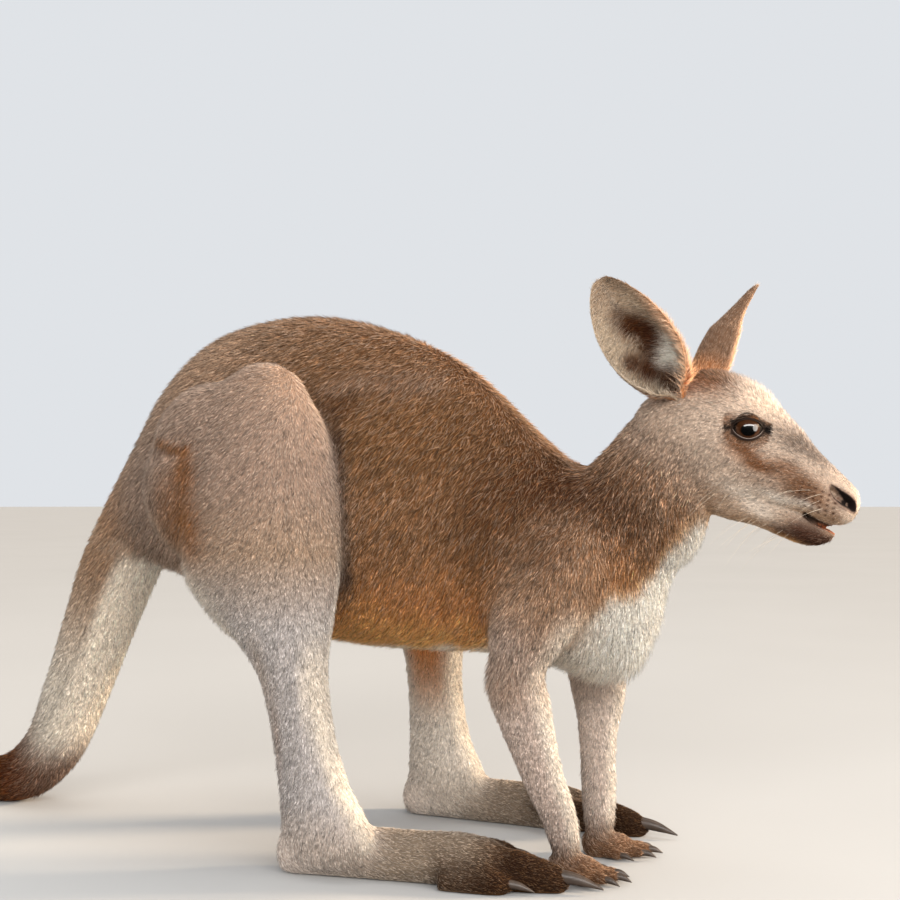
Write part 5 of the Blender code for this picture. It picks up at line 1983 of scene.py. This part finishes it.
def coat_pieces(coat, parts):
    """The coat in pieces: by part of the body, and each small enough."""
    for piece, (kinds, slot_name) in COAT_PIECES.items():
        own = [number for number, part in enumerate(parts) if in_piece(part, kinds)]
        chosen = np.flatnonzero(np.isin(coat.part, own))
        alone = len(own) == 1
        if alone:
            chosen = chosen[np.argsort(coat.places[chosen, 1], kind="stable")]
        pieces = math.ceil(len(chosen) / MOST_TUFTS)
        for number, run in enumerate(np.array_split(chosen, pieces), 1):
            places = stretched(coat.places[run]) if alone else in_cells(coat, run, own)
            coat.make(f"{piece}_{number}", run, places, slot_name)


def stretched(places):
    """Places on one part, spread along the whole of the map."""
    low, high = places[:, 1].min(), places[:, 1].max()
    return cell(np.column_stack([places[:, 0], (places[:, 1] - low) / (high - low)]), 0, 1)


def in_cells(coat, run, own):
    """The places of a run of tufts, each in its own part's cell of the map."""
    places = np.zeros((len(run), 2))
    for number, part in enumerate(own):
        here = coat.part[run] == part
        places[here] = cell(coat.places[run[here]], number, len(own))
    return places


def in_piece(part, kinds):
    side = next((name for name in SIDE_NAMES.values() if name in part), "")
    kind = kind_of(part)
    return kind in kinds or f"{kind}_{side}" in kinds


# ---------------------------------------------------------------- ears


def ear_half_width(t, ear):
    """Half the ear's width, from its base at t = 0 to its tip at t = 1."""
    t = np.clip(t, 0, 1)
    swell = np.sin(math.pi * t**0.97) ** 0.56
    tip = np.maximum(0, (t - 0.5) / 0.5)
    widest = ear["half_width"] * (1 - ear["narrowing"] * tip * (2 - tip))
    return widest * np.maximum(0.34 * (1 - t) ** 1.5, swell * (1 - 0.08 * t))


def ear_frame(ear):
    """The ear's base and tip, its axis, across it and the way its open side faces."""
    base, tip = np.array(ear["base"]), np.array(ear["tip"])
    axis = unit(tip - base)
    facing = np.array(ear["facing"])
    front = unit(facing - axis * (facing @ axis))
    return base, tip, axis, np.cross(axis, front), front


def ear_grid(ear):
    """(points of the ear's inner face, normals out of it, t, share across) by row."""
    base, tip, _, across, front = ear_frame(ear)
    t, share = np.meshgrid(
        np.linspace(EAR_ROOT, EAR_END, EAR_ROWS), np.linspace(-1, 1, EAR_COLUMNS), indexing="ij"
    )
    half = ear_half_width(t, ear) * (0.22 + 0.78 * smooth_step(-0.03, 0.1, t))
    closing = np.clip(1 - t, 0, 1) ** 2.2
    roll = np.radians(EAR_ROLL_AT_TIP + (EAR_ROLL_AT_BASE - EAR_ROLL_AT_TIP) * closing)
    radius = half / np.sin(np.minimum(roll, math.radians(90)))
    spread = radius * np.sin(roll * share) + ear["base_bend"] * np.clip(1 - t, 0, 1) ** 2
    depth = radius * (1 - np.cos(roll * share)) - EAR_SET_BACK * half
    points = base + (tip - base) * t[..., None]
    points = points + across * spread[..., None] + front * depth[..., None]
    normals = np.cross(np.gradient(points, axis=1), np.gradient(points, axis=0))
    normals = unit(normals)
    middle = normals[EAR_ROWS // 2, EAR_COLUMNS // 2]
    normals *= np.sign(middle @ front)
    return points, normals, t, share


def ear_colours(t, forward, inner):
    """Colours by place along the ear and across it, forward being 1 at its front edge."""
    paint = Paint(t.size, "ear_inside")
    flat = np.column_stack([forward.ravel(), t.ravel(), np.zeros(t.size)])
    inner = inner.ravel()
    paint.over("ear_back", 0.45 * smooth_step(0.62, 0.92, flat[:, 1]))
    tip = smooth_step(0.55, 0.85, flat[:, 1])
    # Painted rim light towards the ear's front edge.
    paint.over("ear_rim", 0.9 * smooth_step(0.58, 0.84, flat[:, 0]) * (1 - tip))
    paint.over("cheek", fade(-0.01, 0.06, flat[:, 1]))
    paint.marks(EAR_MARKS, flat)
    paint.over("ear_back", 1 - inner)
    low = fade(0.05, 0.32, flat[:, 1]) * smooth_step(-0.95, -0.45, flat[:, 0])
    paint.over("ear_base", (1 - inner) * low)
    rim = smooth_step(0.86, 1.0, np.abs(flat[:, 0]))
    front_rim_light = rim * (flat[:, 0] > 0) * fade(0.55, 0.95, flat[:, 1])
    paint.over("ear_back", 0.5 * rim)
    paint.over("ear_inside", rim * (flat[:, 0] < 0))
    # Painted rim light along the front rim, below the tip.
    paint.over("ear_rim", front_rim_light)
    return paint.rgb


def make_ear(name, ear, side):
    """The ear's skin as one closed sheet, and its short hair on both faces."""
    points, normals, t, share = ear_grid(ear)
    rim = np.sqrt(np.clip(1 - share**2, 0, 1)) * np.clip((EAR_END + 0.004 - t) / 0.1, 0.05, 1) ** 0.5
    front_face = points - normals * EAR_COAT
    back_face = points - normals * (EAR_COAT + 0.0003 + EAR_SKIN * rim)[..., None]
    count = t.size
    grid = np.arange(count).reshape(t.shape)
    a, b, c, d = grid_corners(grid)
    faces = [np.stack([a, b, c, d], 1), np.stack([d, c, b, a], 1) + count]
    edge = np.concatenate([grid[0], grid[1:, -1], grid[-1, -2::-1], grid[-2:0:-1, 0]])
    after = np.roll(edge, -1)
    faces.append(np.stack([after, edge, edge + count, after + count], 1))
    faces = np.vstack(faces)
    both = np.vstack([front_face.reshape(-1, 3), back_face.reshape(-1, 3)])
    inner = np.concatenate([np.ones(count), np.zeros(count)])
    rgb = ear_colours(np.tile(t, (2, 1)), np.tile(share * -side, (2, 1)), inner)
    volume = sum(np.linalg.det(both[faces[:, half]]).sum() for half in ([0, 1, 2], [0, 2, 3]))
    mesh = new_mesh(name, both, faces if volume > 0 else faces[:, ::-1])
    mesh.shade_smooth()
    set_colours(mesh, deeper(rgb, *SKIN_DEPTH), np.zeros(2 * count))
    hair = ear_coat(mesh, ear, points, t, share * -side, rgb)
    skin = finished(new_object(name, mesh), skin_material(), "ear")
    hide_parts(name.replace("_skin", ""))
    return hair


def ear_coat(mesh, ear, points, t, forward, rgb):
    """The fields that the ear's hair grows by, over both faces."""
    axis = ear_frame(ear)[2]
    surface_points = read(mesh.vertices, "co", 3).astype(float)
    surface_normals = read(mesh.vertex_normals, "vector", 3).astype(float)
    count = t.size
    across = unit(np.gradient(points, axis=1))
    from_middle = np.linspace(-1, 1, t.shape[1])[None, :, None]
    inner_way = axis * 0.5 - across * np.sign(from_middle) * 0.9
    outer_way = np.broadcast_to(axis, points.shape)
    ways = np.vstack([inner_way.reshape(-1, 3), outer_way.reshape(-1, 3)])
    inner = np.arange(2 * count) < count
    sizes = np.where(inner, *np.array(EAR_HAIR)[:, :, None])
    along = np.tile(t.ravel(), 2)
    place = np.column_stack([np.tile(forward.ravel(), 2), along, np.zeros(2 * count)])
    white = spot(place, (0.5, 0.25, 0), (0.28, 0.11, 1)) * inner
    fringe = smooth_step(0.62, 0.95, place[:, 0]) * fade(0.45, 0.8, along)
    fringe = fringe * (1 - 1.4 * ear["narrowing"])
    base = fade(0.02, 0.25, along)
    for share, lift in ((white, 22), (fringe, 20), (base, 8)):
        sizes[LENGTH] *= 1 + 0.9 * share
        sizes[LIFT] += lift * share
    return {
        "points": surface_points,
        "normals": surface_normals,
        "fields": {
            "bare": along < EAR_ROOT,
            "sizes": sizes,
            "flow": on_skin(ways, surface_normals),
            "rgb": rgb,
            "grizzle": np.full(2 * count, 0.2),
            "part": np.zeros(2 * count, int),
            "places": np.column_stack([
                (np.tile(forward.ravel(), 2) + 1) / 4 + np.where(inner, 0, 0.5),
                np.clip(along, 0, 1),
            ]),
        },
        "triangles": triangles_of(mesh),
    }


# ---------------------------------------------------------------- eyes


def dome(rings, segments):
    """Directions over a sphere about +Z, in rings that are closer together near it."""
    polar = np.linspace(0, 1, rings + 1)[1:] ** 1.35 * math.pi
    around = np.linspace(0, 2 * math.pi, segments, endpoint=False)
    polar, around = np.meshgrid(polar, around, indexing="ij")
    return np.stack(
        [np.sin(polar) * np.cos(around), np.sin(polar) * np.sin(around), np.cos(polar)], axis=-1
    )


def make_eye(side):
    """An eyeball whose cornea bulges, in its own axes: +Z out through the pupil."""
    ways = dome(EYE_RINGS, EYE_SEGMENTS)
    radius = EYE_RADIUS - LID_FIT
    bulge = CORNEA_BULGE * np.clip(1 - (np.arccos(ways[..., 2]) / CORNEA_ANGLE) ** 2, 0, 1) ** 1.2
    points = (ways * (radius + bulge)[..., None]).reshape(-1, 3)
    ring = 1 + np.arange(len(points)).reshape(EYE_RINGS, EYE_SEGMENTS)
    a, b, c, d = grid_corners(np.column_stack([ring, ring[:, 0]]))
    cap = np.stack([0 * ring[0], ring[0], np.roll(ring[0], -1)], 1)
    triangles = np.vstack([cap, np.stack([a, d, c], 1), np.stack([a, c, b], 1)])
    name = "eyeball_" + SIDE_NAMES[side]
    mesh = new_mesh(name, np.vstack([(0, 0, radius + CORNEA_BULGE), points]), triangles)
    mesh.shade_smooth()
    mesh.materials.append(eye_material())
    made = new_object(name, mesh)
    centre, axes = eye_axes(side)
    turn = Matrix(axes.T.tolist()).to_4x4()
    if turn.determinant() < 0:
        turn = turn @ Matrix.Diagonal((-1, 1, 1, 1))
    made.matrix_world = Matrix.Translation(SHIFT) @ Matrix.Translation(centre.tolist()) @ turn
    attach(made, "root")
    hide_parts("eye_" + SIDE_NAMES[side])


def lid_edge(side, upper, outside, count):
    """Points along a lid's edge, over the eyeball, this far outside the opening."""
    centre, axes = eye_axes(side)
    sign, rise, radius = lid_arc(upper)
    reach = math.asin(min(1, LID_HALF / radius))
    angle = np.linspace(-reach, reach, count) * 0.985  # just short of the corners
    across = (radius + outside) * np.sin(angle)
    up = sign * ((radius + outside) * np.cos(angle) - (radius - rise))
    out = np.sqrt(np.clip(EYE_RADIUS**2 - across**2 - up**2, 0.0015**2, None))
    return centre, axes, np.stack([across, up, out], axis=1)


def make_lid_rims():
    """The wet, dark edge of the lids, and a pale line of water along the lower one."""
    for name, uppers, outside, thick, material in LID_LINES:
        tubes = []
        for side in SIDE_NAMES:
            for upper in uppers:
                centre, axes, local = lid_edge(side, upper, outside, 40)
                line = centre + onto_ball(local, EYE_RADIUS + 0.0002) @ axes
                thin = thick * np.sin(np.linspace(0.08, math.pi - 0.08, len(line))) ** 0.4
                tubes.append(line_tube(line, thin, 10))
        smooth_piece(name, tubes, plain_material(material), "eye")


def line_tube(line, radii, corners):
    """(points, triangles) of a closed tube along a line."""
    ahead = unit(np.gradient(line, axis=0))
    side = unit(np.cross(ahead, np.where(np.abs(ahead[:, 2:]) < 0.9, (0, 0, 1.0), (1.0, 0, 0))))
    other = np.cross(ahead, side)
    angle = np.linspace(0, 2 * math.pi, corners, endpoint=False)
    ring = side[:, None] * np.cos(angle)[:, None] + other[:, None] * np.sin(angle)[:, None]
    return loft_arrays(line[:, None] + ring * np.asarray(radii)[:, None, None])


def spikes(name, roots, ways, lengths, width, bend, material, slot_name):
    """Long thin hairs, each a curved tube of triangles."""
    hairs = []
    steps = np.linspace(0, 1, 6)
    for root, way, length, turn in zip(roots, ways, lengths, bend, strict=True):
        line = root + way * (steps * length)[:, None] + turn * (steps**2 * length)[:, None]
        line[:, 2] = np.maximum(line[:, 2], LEAST_HEIGHT)
        hairs.append(line_tube(line, width * (1 - 0.9 * steps), 3))
    return smooth_piece(name, hairs, material, slot_name)


def make_lashes(rng):
    roots, ways, lengths, bends = [], [], [], []
    for side in SIDE_NAMES:
        for upper, count, length, droop, curl in LASHES:
            centre, axes, local = lid_edge(side, upper, LASH_SET, count)
            local = onto_ball(local, EYE_RADIUS + LASH_SET)
            across = local[:, 0] / LID_HALF
            way = unit(local) * 0.9
            way[:, 0] += 0.45 * across + LASH_STRAY * rng.normal(size=count)
            way[:, 1] += droop + LASH_STRAY * rng.normal(size=count)
            roots.append(centre + local @ axes)
            ways.append(unit(way) @ axes)
            bends.append(np.tile((0, curl, 0), (count, 1)) @ axes)
            lengths.append(length * rng.uniform(0.7, 1.15, count))
    return spikes(
        "lashes", np.vstack(roots), np.vstack(ways), np.concatenate(lengths), LASH_WIDTH,
        np.vstack(bends), plain_material("lashes"), "coat_dark",
    )


def make_whiskers(surface, rng):
    """Pale, sparse whiskers on the lip, the chin, the cheek and over the eye."""
    flipped = mirrored(to_head(surface.points))
    roots, ways, lengths = [], [], []
    for centre, spread, count, length, way in WHISKERS:
        for side in SIDE_NAMES:
            for _ in range(count):
                wanted = np.array(centre) + rng.normal(size=3) * spread
                away = np.linalg.norm(flipped - wanted, axis=1)
                away += np.sign(surface.points[:, 1]) != side
                index = int(away.argmin())
                direction = np.array(way) * (1, side, 1) + WHISKER_STRAY * rng.normal(size=3)
                direction = unit(HEAD_AXES @ direction)
                normal = surface.normals[index]
                lift = max(0.0, WHISKER_LEAST_RISE - direction @ normal)
                direction = unit(direction + normal * lift)
                roots.append(surface.points[index] - normal * 0.0005)
                ways.append(direction)
                lengths.append(length * rng.uniform(0.6, 1.1))
    bends = [np.array(WHISKER_BEND)] * len(roots)
    pale = plain_material("whiskers")
    return spikes("whiskers", roots, ways, lengths, WHISKER_WIDTH, bends, pale, "coat_limb")


# ---------------------------------------------------------------- claws


def claw_arrays(start, tip, radius):
    """A claw as rings: curved, deeper than wide, and pointed."""
    start, tip = np.array(start), np.array(tip)
    stations = smooth_rows(CLAW_TAPER, 22)
    angle = np.linspace(0, 2 * math.pi, 20, endpoint=False)
    ahead = unit(tip - start)
    side = unit(np.cross((0, 0, 1.0), ahead))
    up = np.cross(ahead, side)
    rings = []
    for along, wide, deep in stations:
        middle = start + (tip - start) * along
        middle[2] += CLAW_ARCH * radius * max(0.0, math.sin(math.pi * along))
        keel = 1 + 0.12 * np.sin(angle)
        ring = middle + np.outer(radius * wide * np.cos(angle) * CLAW_SLIM, side)
        ring += np.outer(radius * deep * np.sin(angle) * keel * CLAW_SLIM, up)
        ring[:, 2] = np.maximum(ring[:, 2], CLAW_CLEARANCE)
        rings.append(ring)
    return loft_arrays(np.array(rings))


def claw_places():
    """(CAD node, start, tip, radius) of every claw."""
    for side, side_name in SIDE_NAMES.items():
        for name, toe in TOES.items():
            for number, (across, start, low, tip, tip_z, radius) in enumerate(toe["claws"], 1):
                ends = toe_place(side, toe)([(start, across, low), (tip, across, tip_z)])
                yield f"claw_{name}_{side_name}_{number}", *ends, radius
        place = placed_by(paw_matrix(side))
        for number, (across, start, length, splay, radius) in enumerate(FINGERS, 1):
            root, ahead = finger_axis(across, start, splay, radius)
            root = root + ahead * (length * FINGER_CLAW_START)
            tip = root + ahead * FINGER_CLAW_LENGTH - (0, 0, radius * FINGER_CLAW_DROP)
            ends = place([root, tip])
            yield f"claw_paw_{side_name}_{number}", *ends, radius * FINGER_CLAW_RADIUS


def make_claws():
    """One piece for each foot's claws, in place of the CAD's."""
    groups = {}
    for node, *shape in claw_places():
        groups.setdefault(node.rsplit("_", 1)[0], {})[node] = claw_arrays(*shape)
    for name, claws in groups.items():
        piece = smooth_piece(name + "_horn", claws.values(), horn_material(), "claw")
        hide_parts(*claws)


# ---------------------------------------------------------------- materials


def finished(obj, material, slot_name):
    """Moves a piece into the model's frame, and gives it its material and body. slot_name is not used.
    """
    obj.data.transform(Matrix.Translation(SHIFT))
    obj.data.materials.clear()
    obj.data.materials.append(material)
    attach(obj, "root")
    return obj


def smooth_piece(name, lofts, material, slot_name):
    """A finished piece from several closed meshes."""
    mesh = new_mesh(name, *stacked(lofts))
    mesh.shade_smooth()
    return finished(new_object(name, mesh), material, slot_name)


class Nodes:
    """A new material's node tree, with short ways to add nodes and link them."""

    def __init__(self, name):
        self.material = bpy.data.materials.new(name)
        self.material.use_nodes = True
        self.tree = self.material.node_tree
        self.shader = self.tree.nodes["Principled BSDF"]

    def add(self, kind, **values):
        node = self.tree.nodes.new("ShaderNode" + kind)
        for key, value in values.items():
            if hasattr(node, key):
                setattr(node, key, value)
            else:
                node.inputs[key.replace("_", " ")].default_value = value
        return node

    def link(self, source, target):
        self.tree.links.new(source, target)

    def noise(self, scale, detail=2.0, roughness=0.5):
        """A noise by place on the object."""
        place = self.add("TexCoord")
        node = self.add("TexNoise", Scale=scale, Detail=detail, Roughness=roughness)
        self.link(place.outputs["Object"], node.inputs["Vector"])
        return node.outputs["Fac"]

    def spread(self, source, low, high, **values):
        """source from 0 to 1 moved to low to high."""
        node = self.add("MapRange", To_Min=low, To_Max=high, **values)
        self.link(source, node.inputs["Value"])
        return node.outputs["Result"]

    def step(self, source, low, high):
        """0 where source is under low, 1 over high, and smooth between."""
        shape = {"interpolation_type": "SMOOTHSTEP", "From_Min": low, "From_Max": high}
        return self.spread(source, 0, 1, **shape)

    def length(self, vector, scale):
        """The length of a vector once its axes are scaled."""
        scaled = self.add("VectorMath", operation="MULTIPLY")
        scaled.inputs[1].default_value = scale
        self.link(vector, scaled.inputs[0])
        found = self.add("VectorMath", operation="LENGTH")
        self.link(scaled.outputs["Vector"], found.inputs[0])
        return found.outputs["Value"]

    def times(self, colour, factor):
        """A colour times a number."""
        node = self.add("VectorMath", operation="SCALE")
        self.link(colour, node.inputs[0])
        self.link(factor, node.inputs["Scale"])
        return node.outputs["Vector"]

    def mix(self, factor, first, second):
        """A mix of two colours, each a socket or a value."""
        node = self.add("Mix", data_type="RGBA")
        self.link(factor, node.inputs["Factor"])
        for socket, colour in (("A", first), ("B", second)):
            target = next(i for i in node.inputs if i.name == socket and i.type == "RGBA")
            if isinstance(colour, tuple):
                target.default_value = (*colour, 1)
            else:
                self.link(colour, target)
        return next(o for o in node.outputs if o.type == "RGBA")

    def finish(self, colour, rough_scale, roughness, specular=0.5):
        """Gives the shader its colour, a roughness that a noise varies, and its gloss."""
        self.link(colour, self.shader.inputs["Base Color"])
        rough = self.spread(self.noise(rough_scale), *roughness)
        self.link(rough, self.shader.inputs["Roughness"])
        self.shader.inputs["Specular IOR Level"].default_value = specular

    def bump(self, height, distance, strength):
        node = self.add("Bump", Distance=distance, Strength=strength)
        self.link(height, node.inputs["Height"])
        self.link(node.outputs["Normal"], self.shader.inputs["Normal"])


def once(make):
    """Makes a material the first time that it is asked for."""
    kept = []

    def get():
        if not kept:
            kept.append(make())
        return kept[0]

    return get


@once
def skin_material():
    """The undercoat: the coat's own colours, darker, over a fine woolly bump."""
    nodes = Nodes("undercoat")
    coat = nodes.add("Attribute", attribute_name="Coat")
    mottle = nodes.spread(nodes.noise(420.0, 3.0), 0.62, 1.3)
    nodes.finish(nodes.times(coat.outputs["Color"], mottle), 90.0, (0.72, 0.92), 0.1)
    nodes.bump(nodes.noise(1500.0, 3.0, 0.7), 0.0006, 0.8)
    return nodes.material


@once
def tuft_material():
    """Hair: the coat's colours, with bands of dark and pale along the grizzled hairs."""
    nodes = Nodes("coat")
    coat = nodes.add("Attribute", attribute_name="Coat")
    bands = nodes.spread(nodes.noise(BAND_SCALE), -1, 1, From_Min=0.3, From_Max=0.7)
    mottle = nodes.add("Math", operation="MULTIPLY_ADD")
    nodes.link(bands, mottle.inputs[0])
    nodes.link(coat.outputs["Alpha"], mottle.inputs[1])
    mottle.inputs[2].default_value = 1.0
    colour = nodes.times(coat.outputs["Color"], mottle.outputs["Value"])
    nodes.finish(colour, 60.0, (0.66, 0.84), 0.16)
    nodes.bump(nodes.noise(900.0), 0.0002, 0.4)
    return nodes.material


@once
def horn_material():
    """Claws: dark horn with growth lines, a little glossy."""
    nodes = Nodes("horn")
    place = nodes.add("TexCoord")
    wave = nodes.add("TexWave", Scale=260.0, Distortion=2.5, Detail=2.0)
    nodes.link(place.outputs["Object"], wave.inputs["Vector"])
    colour = nodes.mix(nodes.noise(120.0, 3.0), (0.02, 0.014, 0.011), (0.085, 0.06, 0.045))
    nodes.finish(colour, 200.0, (0.28, 0.48))
    nodes.bump(wave.outputs["Fac"], 0.0002, 0.35)
    return nodes.material


@once
def eye_material():
    """Brown iris round a wide pupil, under a clear wet coat."""
    nodes = Nodes("eye")
    place = nodes.add("TexCoord").outputs["Object"]
    from_axis = nodes.length(place, (1, 1, 0))
    in_pupils = nodes.length(place, (1 / PUPIL_LONG, 1 / PUPIL_HIGH, 0))
    streaks = nodes.noise(700.0, 3.0, 0.6)
    iris = nodes.mix(streaks, *IRIS_COLOURS)
    edge = nodes.step(from_axis, IRIS_RADIUS - 0.0016, IRIS_RADIUS)
    ball = nodes.mix(edge, iris, (0.006, 0.004, 0.003))
    colour = nodes.mix(nodes.step(in_pupils, 0.88, 1.06), (0.002, 0.002, 0.002), ball)
    nodes.finish(colour, 150.0, (0.3, 0.4), 0.1)
    for socket, value in (("Weight", 1.0), ("Roughness", 0.02), ("IOR", 1.65)):
        nodes.shader.inputs["Coat " + socket].default_value = value
    nodes.bump(streaks, 0.0002, 0.08)
    return nodes.material


# Materials that mix two colours by a noise: its scale and detail, the colours, then the
# roughness's noise and range, the gloss, and the bump's scale, detail, depth and strength.
PLAIN = {
    "lid_edge": (
        (500, 3), (0.01, 0.006, 0.005), (0.04, 0.024, 0.018), 300, (0.45, 0.6), 0.2,
        (1400, 2, 0.0002, 0.5),
    ),
    "eye_water": (
        (400, 2), (0.16, 0.12, 0.1), (0.34, 0.27, 0.23), 300, (0.04, 0.1), 0.5,
        (900, 2, 0.0001, 0.2),
    ),
    "lashes": (
        (300, 2), (0.01, 0.007, 0.006), (0.05, 0.03, 0.02), 200, (0.35, 0.5), 0.5,
        (2000, 2, 0.0001, 0.2),
    ),
    "whiskers": (
        (80, 2), (0.55, 0.42, 0.3), (0.85, 0.74, 0.6), 200, (0.3, 0.45), 0.5,
        (2000, 2, 0.0001, 0.2),
    ),
    "pale_floor": (
        (1.2, 4), (0.4, 0.4, 0.395), (0.44, 0.44, 0.435), 3, (0.75, 0.9), 0.5,
        (220, 4, 0.0004, 0.2),
    ),
}


def plain_material(name):
    """One of the materials that are only a mottled colour with a bump."""
    nodes = Nodes(name)
    mottle, first, second, rough_scale, roughness, gloss, bump = PLAIN[name]
    colour = nodes.mix(nodes.noise(*mottle), first, second)
    nodes.finish(colour, rough_scale, roughness, gloss)
    scale, detail, depth, strength = bump
    nodes.bump(nodes.noise(scale, detail), depth, strength)
    return nodes.material


# ---------------------------------------------------------------- floor, light and camera


def make_floor():
    work = bmesh.new()
    bmesh.ops.create_circle(work, cap_ends=True, segments=128, radius=FLOOR_RADIUS)
    mesh = bpy.data.meshes.new("floor")
    work.to_mesh(mesh)
    work.free()
    floor = new_object("floor", mesh)
    floor.location = (0, 0, FLOOR - 0.0002)
    floor.visible_glossy = False
    mesh.materials.append(plain_material("pale_floor"))


def add_light(name, kind, energy, colour, aim):
    """A light that shines along aim."""
    light = bpy.data.lights.new(name, kind)
    light.energy = energy
    light.color = colour
    made = bpy.data.objects.new(name, light)
    bpy.context.scene.collection.objects.link(made)
    made.rotation_euler = Vector(aim).to_track_quat("-Z", "Y").to_euler()
    return made


def make_sun(name, way, width, strength, colour):
    sun = add_light(name, "SUN", strength, colour, -Vector(way))
    sun.data.angle = math.radians(width)


def make_band(place, towards, size, power, colour):
    band = add_light("sky_band", "AREA", power, colour, Vector(towards) - Vector(place))
    band.location = place
    band.data.shape = "RECTANGLE"
    band.data.size, band.data.size_y = size


def light_scene():
    world = bpy.data.worlds.new("studio")
    world.use_nodes = True
    background = world.node_tree.nodes["Background"]
    background.inputs["Color"].default_value = WORLD_COLOUR
    background.inputs["Strength"].default_value = WORLD_STRENGTH
    world.cycles_visibility.glossy = False
    bpy.context.scene.world = world
    for sun in SUNS:
        make_sun(*sun)
    make_band(*SKY_BAND)
    bpy.context.scene.view_settings.view_transform = "Standard"


def make_camera():
    """The camera where the photographer stood, low and to the front right."""
    camera = bpy.data.objects.new("camera", bpy.data.cameras.new("camera"))
    camera.data.lens = CAMERA_LENS
    camera.data.sensor_width = 36
    camera.data.clip_start = 0.05
    camera.location = Vector(CAMERA_PLACE) + SHIFT
    camera.rotation_euler = (math.radians(90) + CAMERA_PITCH, 0, CAMERA_HEADING)
    bpy.context.scene.collection.objects.link(camera)
    bpy.context.scene.camera = camera


# ---------------------------------------------------------------- the animal


def make_animal():
    rng = np.random.default_rng(SEED)
    skin, surface, parts, distance = make_skin()
    shares = shares_of_kinds(parts, distance)
    rgb = paint_coat(surface, shares)
    sizes, grizzle = coat_sizes(surface, shares)
    nearest = distance.argmin(0)
    fields = {
        "bare": bare(surface, shares),
        "sizes": sizes,
        "flow": flow(surface, shares),
        "rgb": rgb,
        "grizzle": grizzle,
        "part": nearest,
        "places": unwrap(surface.points, parts, nearest),
    }
    coat = Coat(surface.points, surface.normals, triangles_of(skin.data), fields, rng)
    skin_rgb = np.where(fields["bare"][:, None], rgb, deeper(rgb, *SKIN_DEPTH))
    set_colours(skin.data, skin_rgb, grizzle)
    skin.data.shade_smooth()
    make_whiskers(surface, rng)
    finished(skin, skin_material(), "coat_back")
    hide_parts(*[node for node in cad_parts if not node.startswith(OWN_PIECES)])
    coat_pieces(coat, parts)
    for name, ear in EARS.items():
        side = -1 if "right" in name else 1
        ear = make_ear(name + "_skin", ear, side)
        hair = Coat(ear["points"], ear["normals"], ear["triangles"], ear["fields"], rng)
        chosen = np.arange(len(hair.roots))
        hair.make("coat_" + name, chosen, cell(hair.places, 0, 1), "ear")
    for side in SIDE_NAMES:
        make_eye(side)
    make_lid_rims()
    make_lashes(rng)
    make_claws()


def main():
    make_animal()
    make_floor()
    light_scene()
    make_camera()


main()
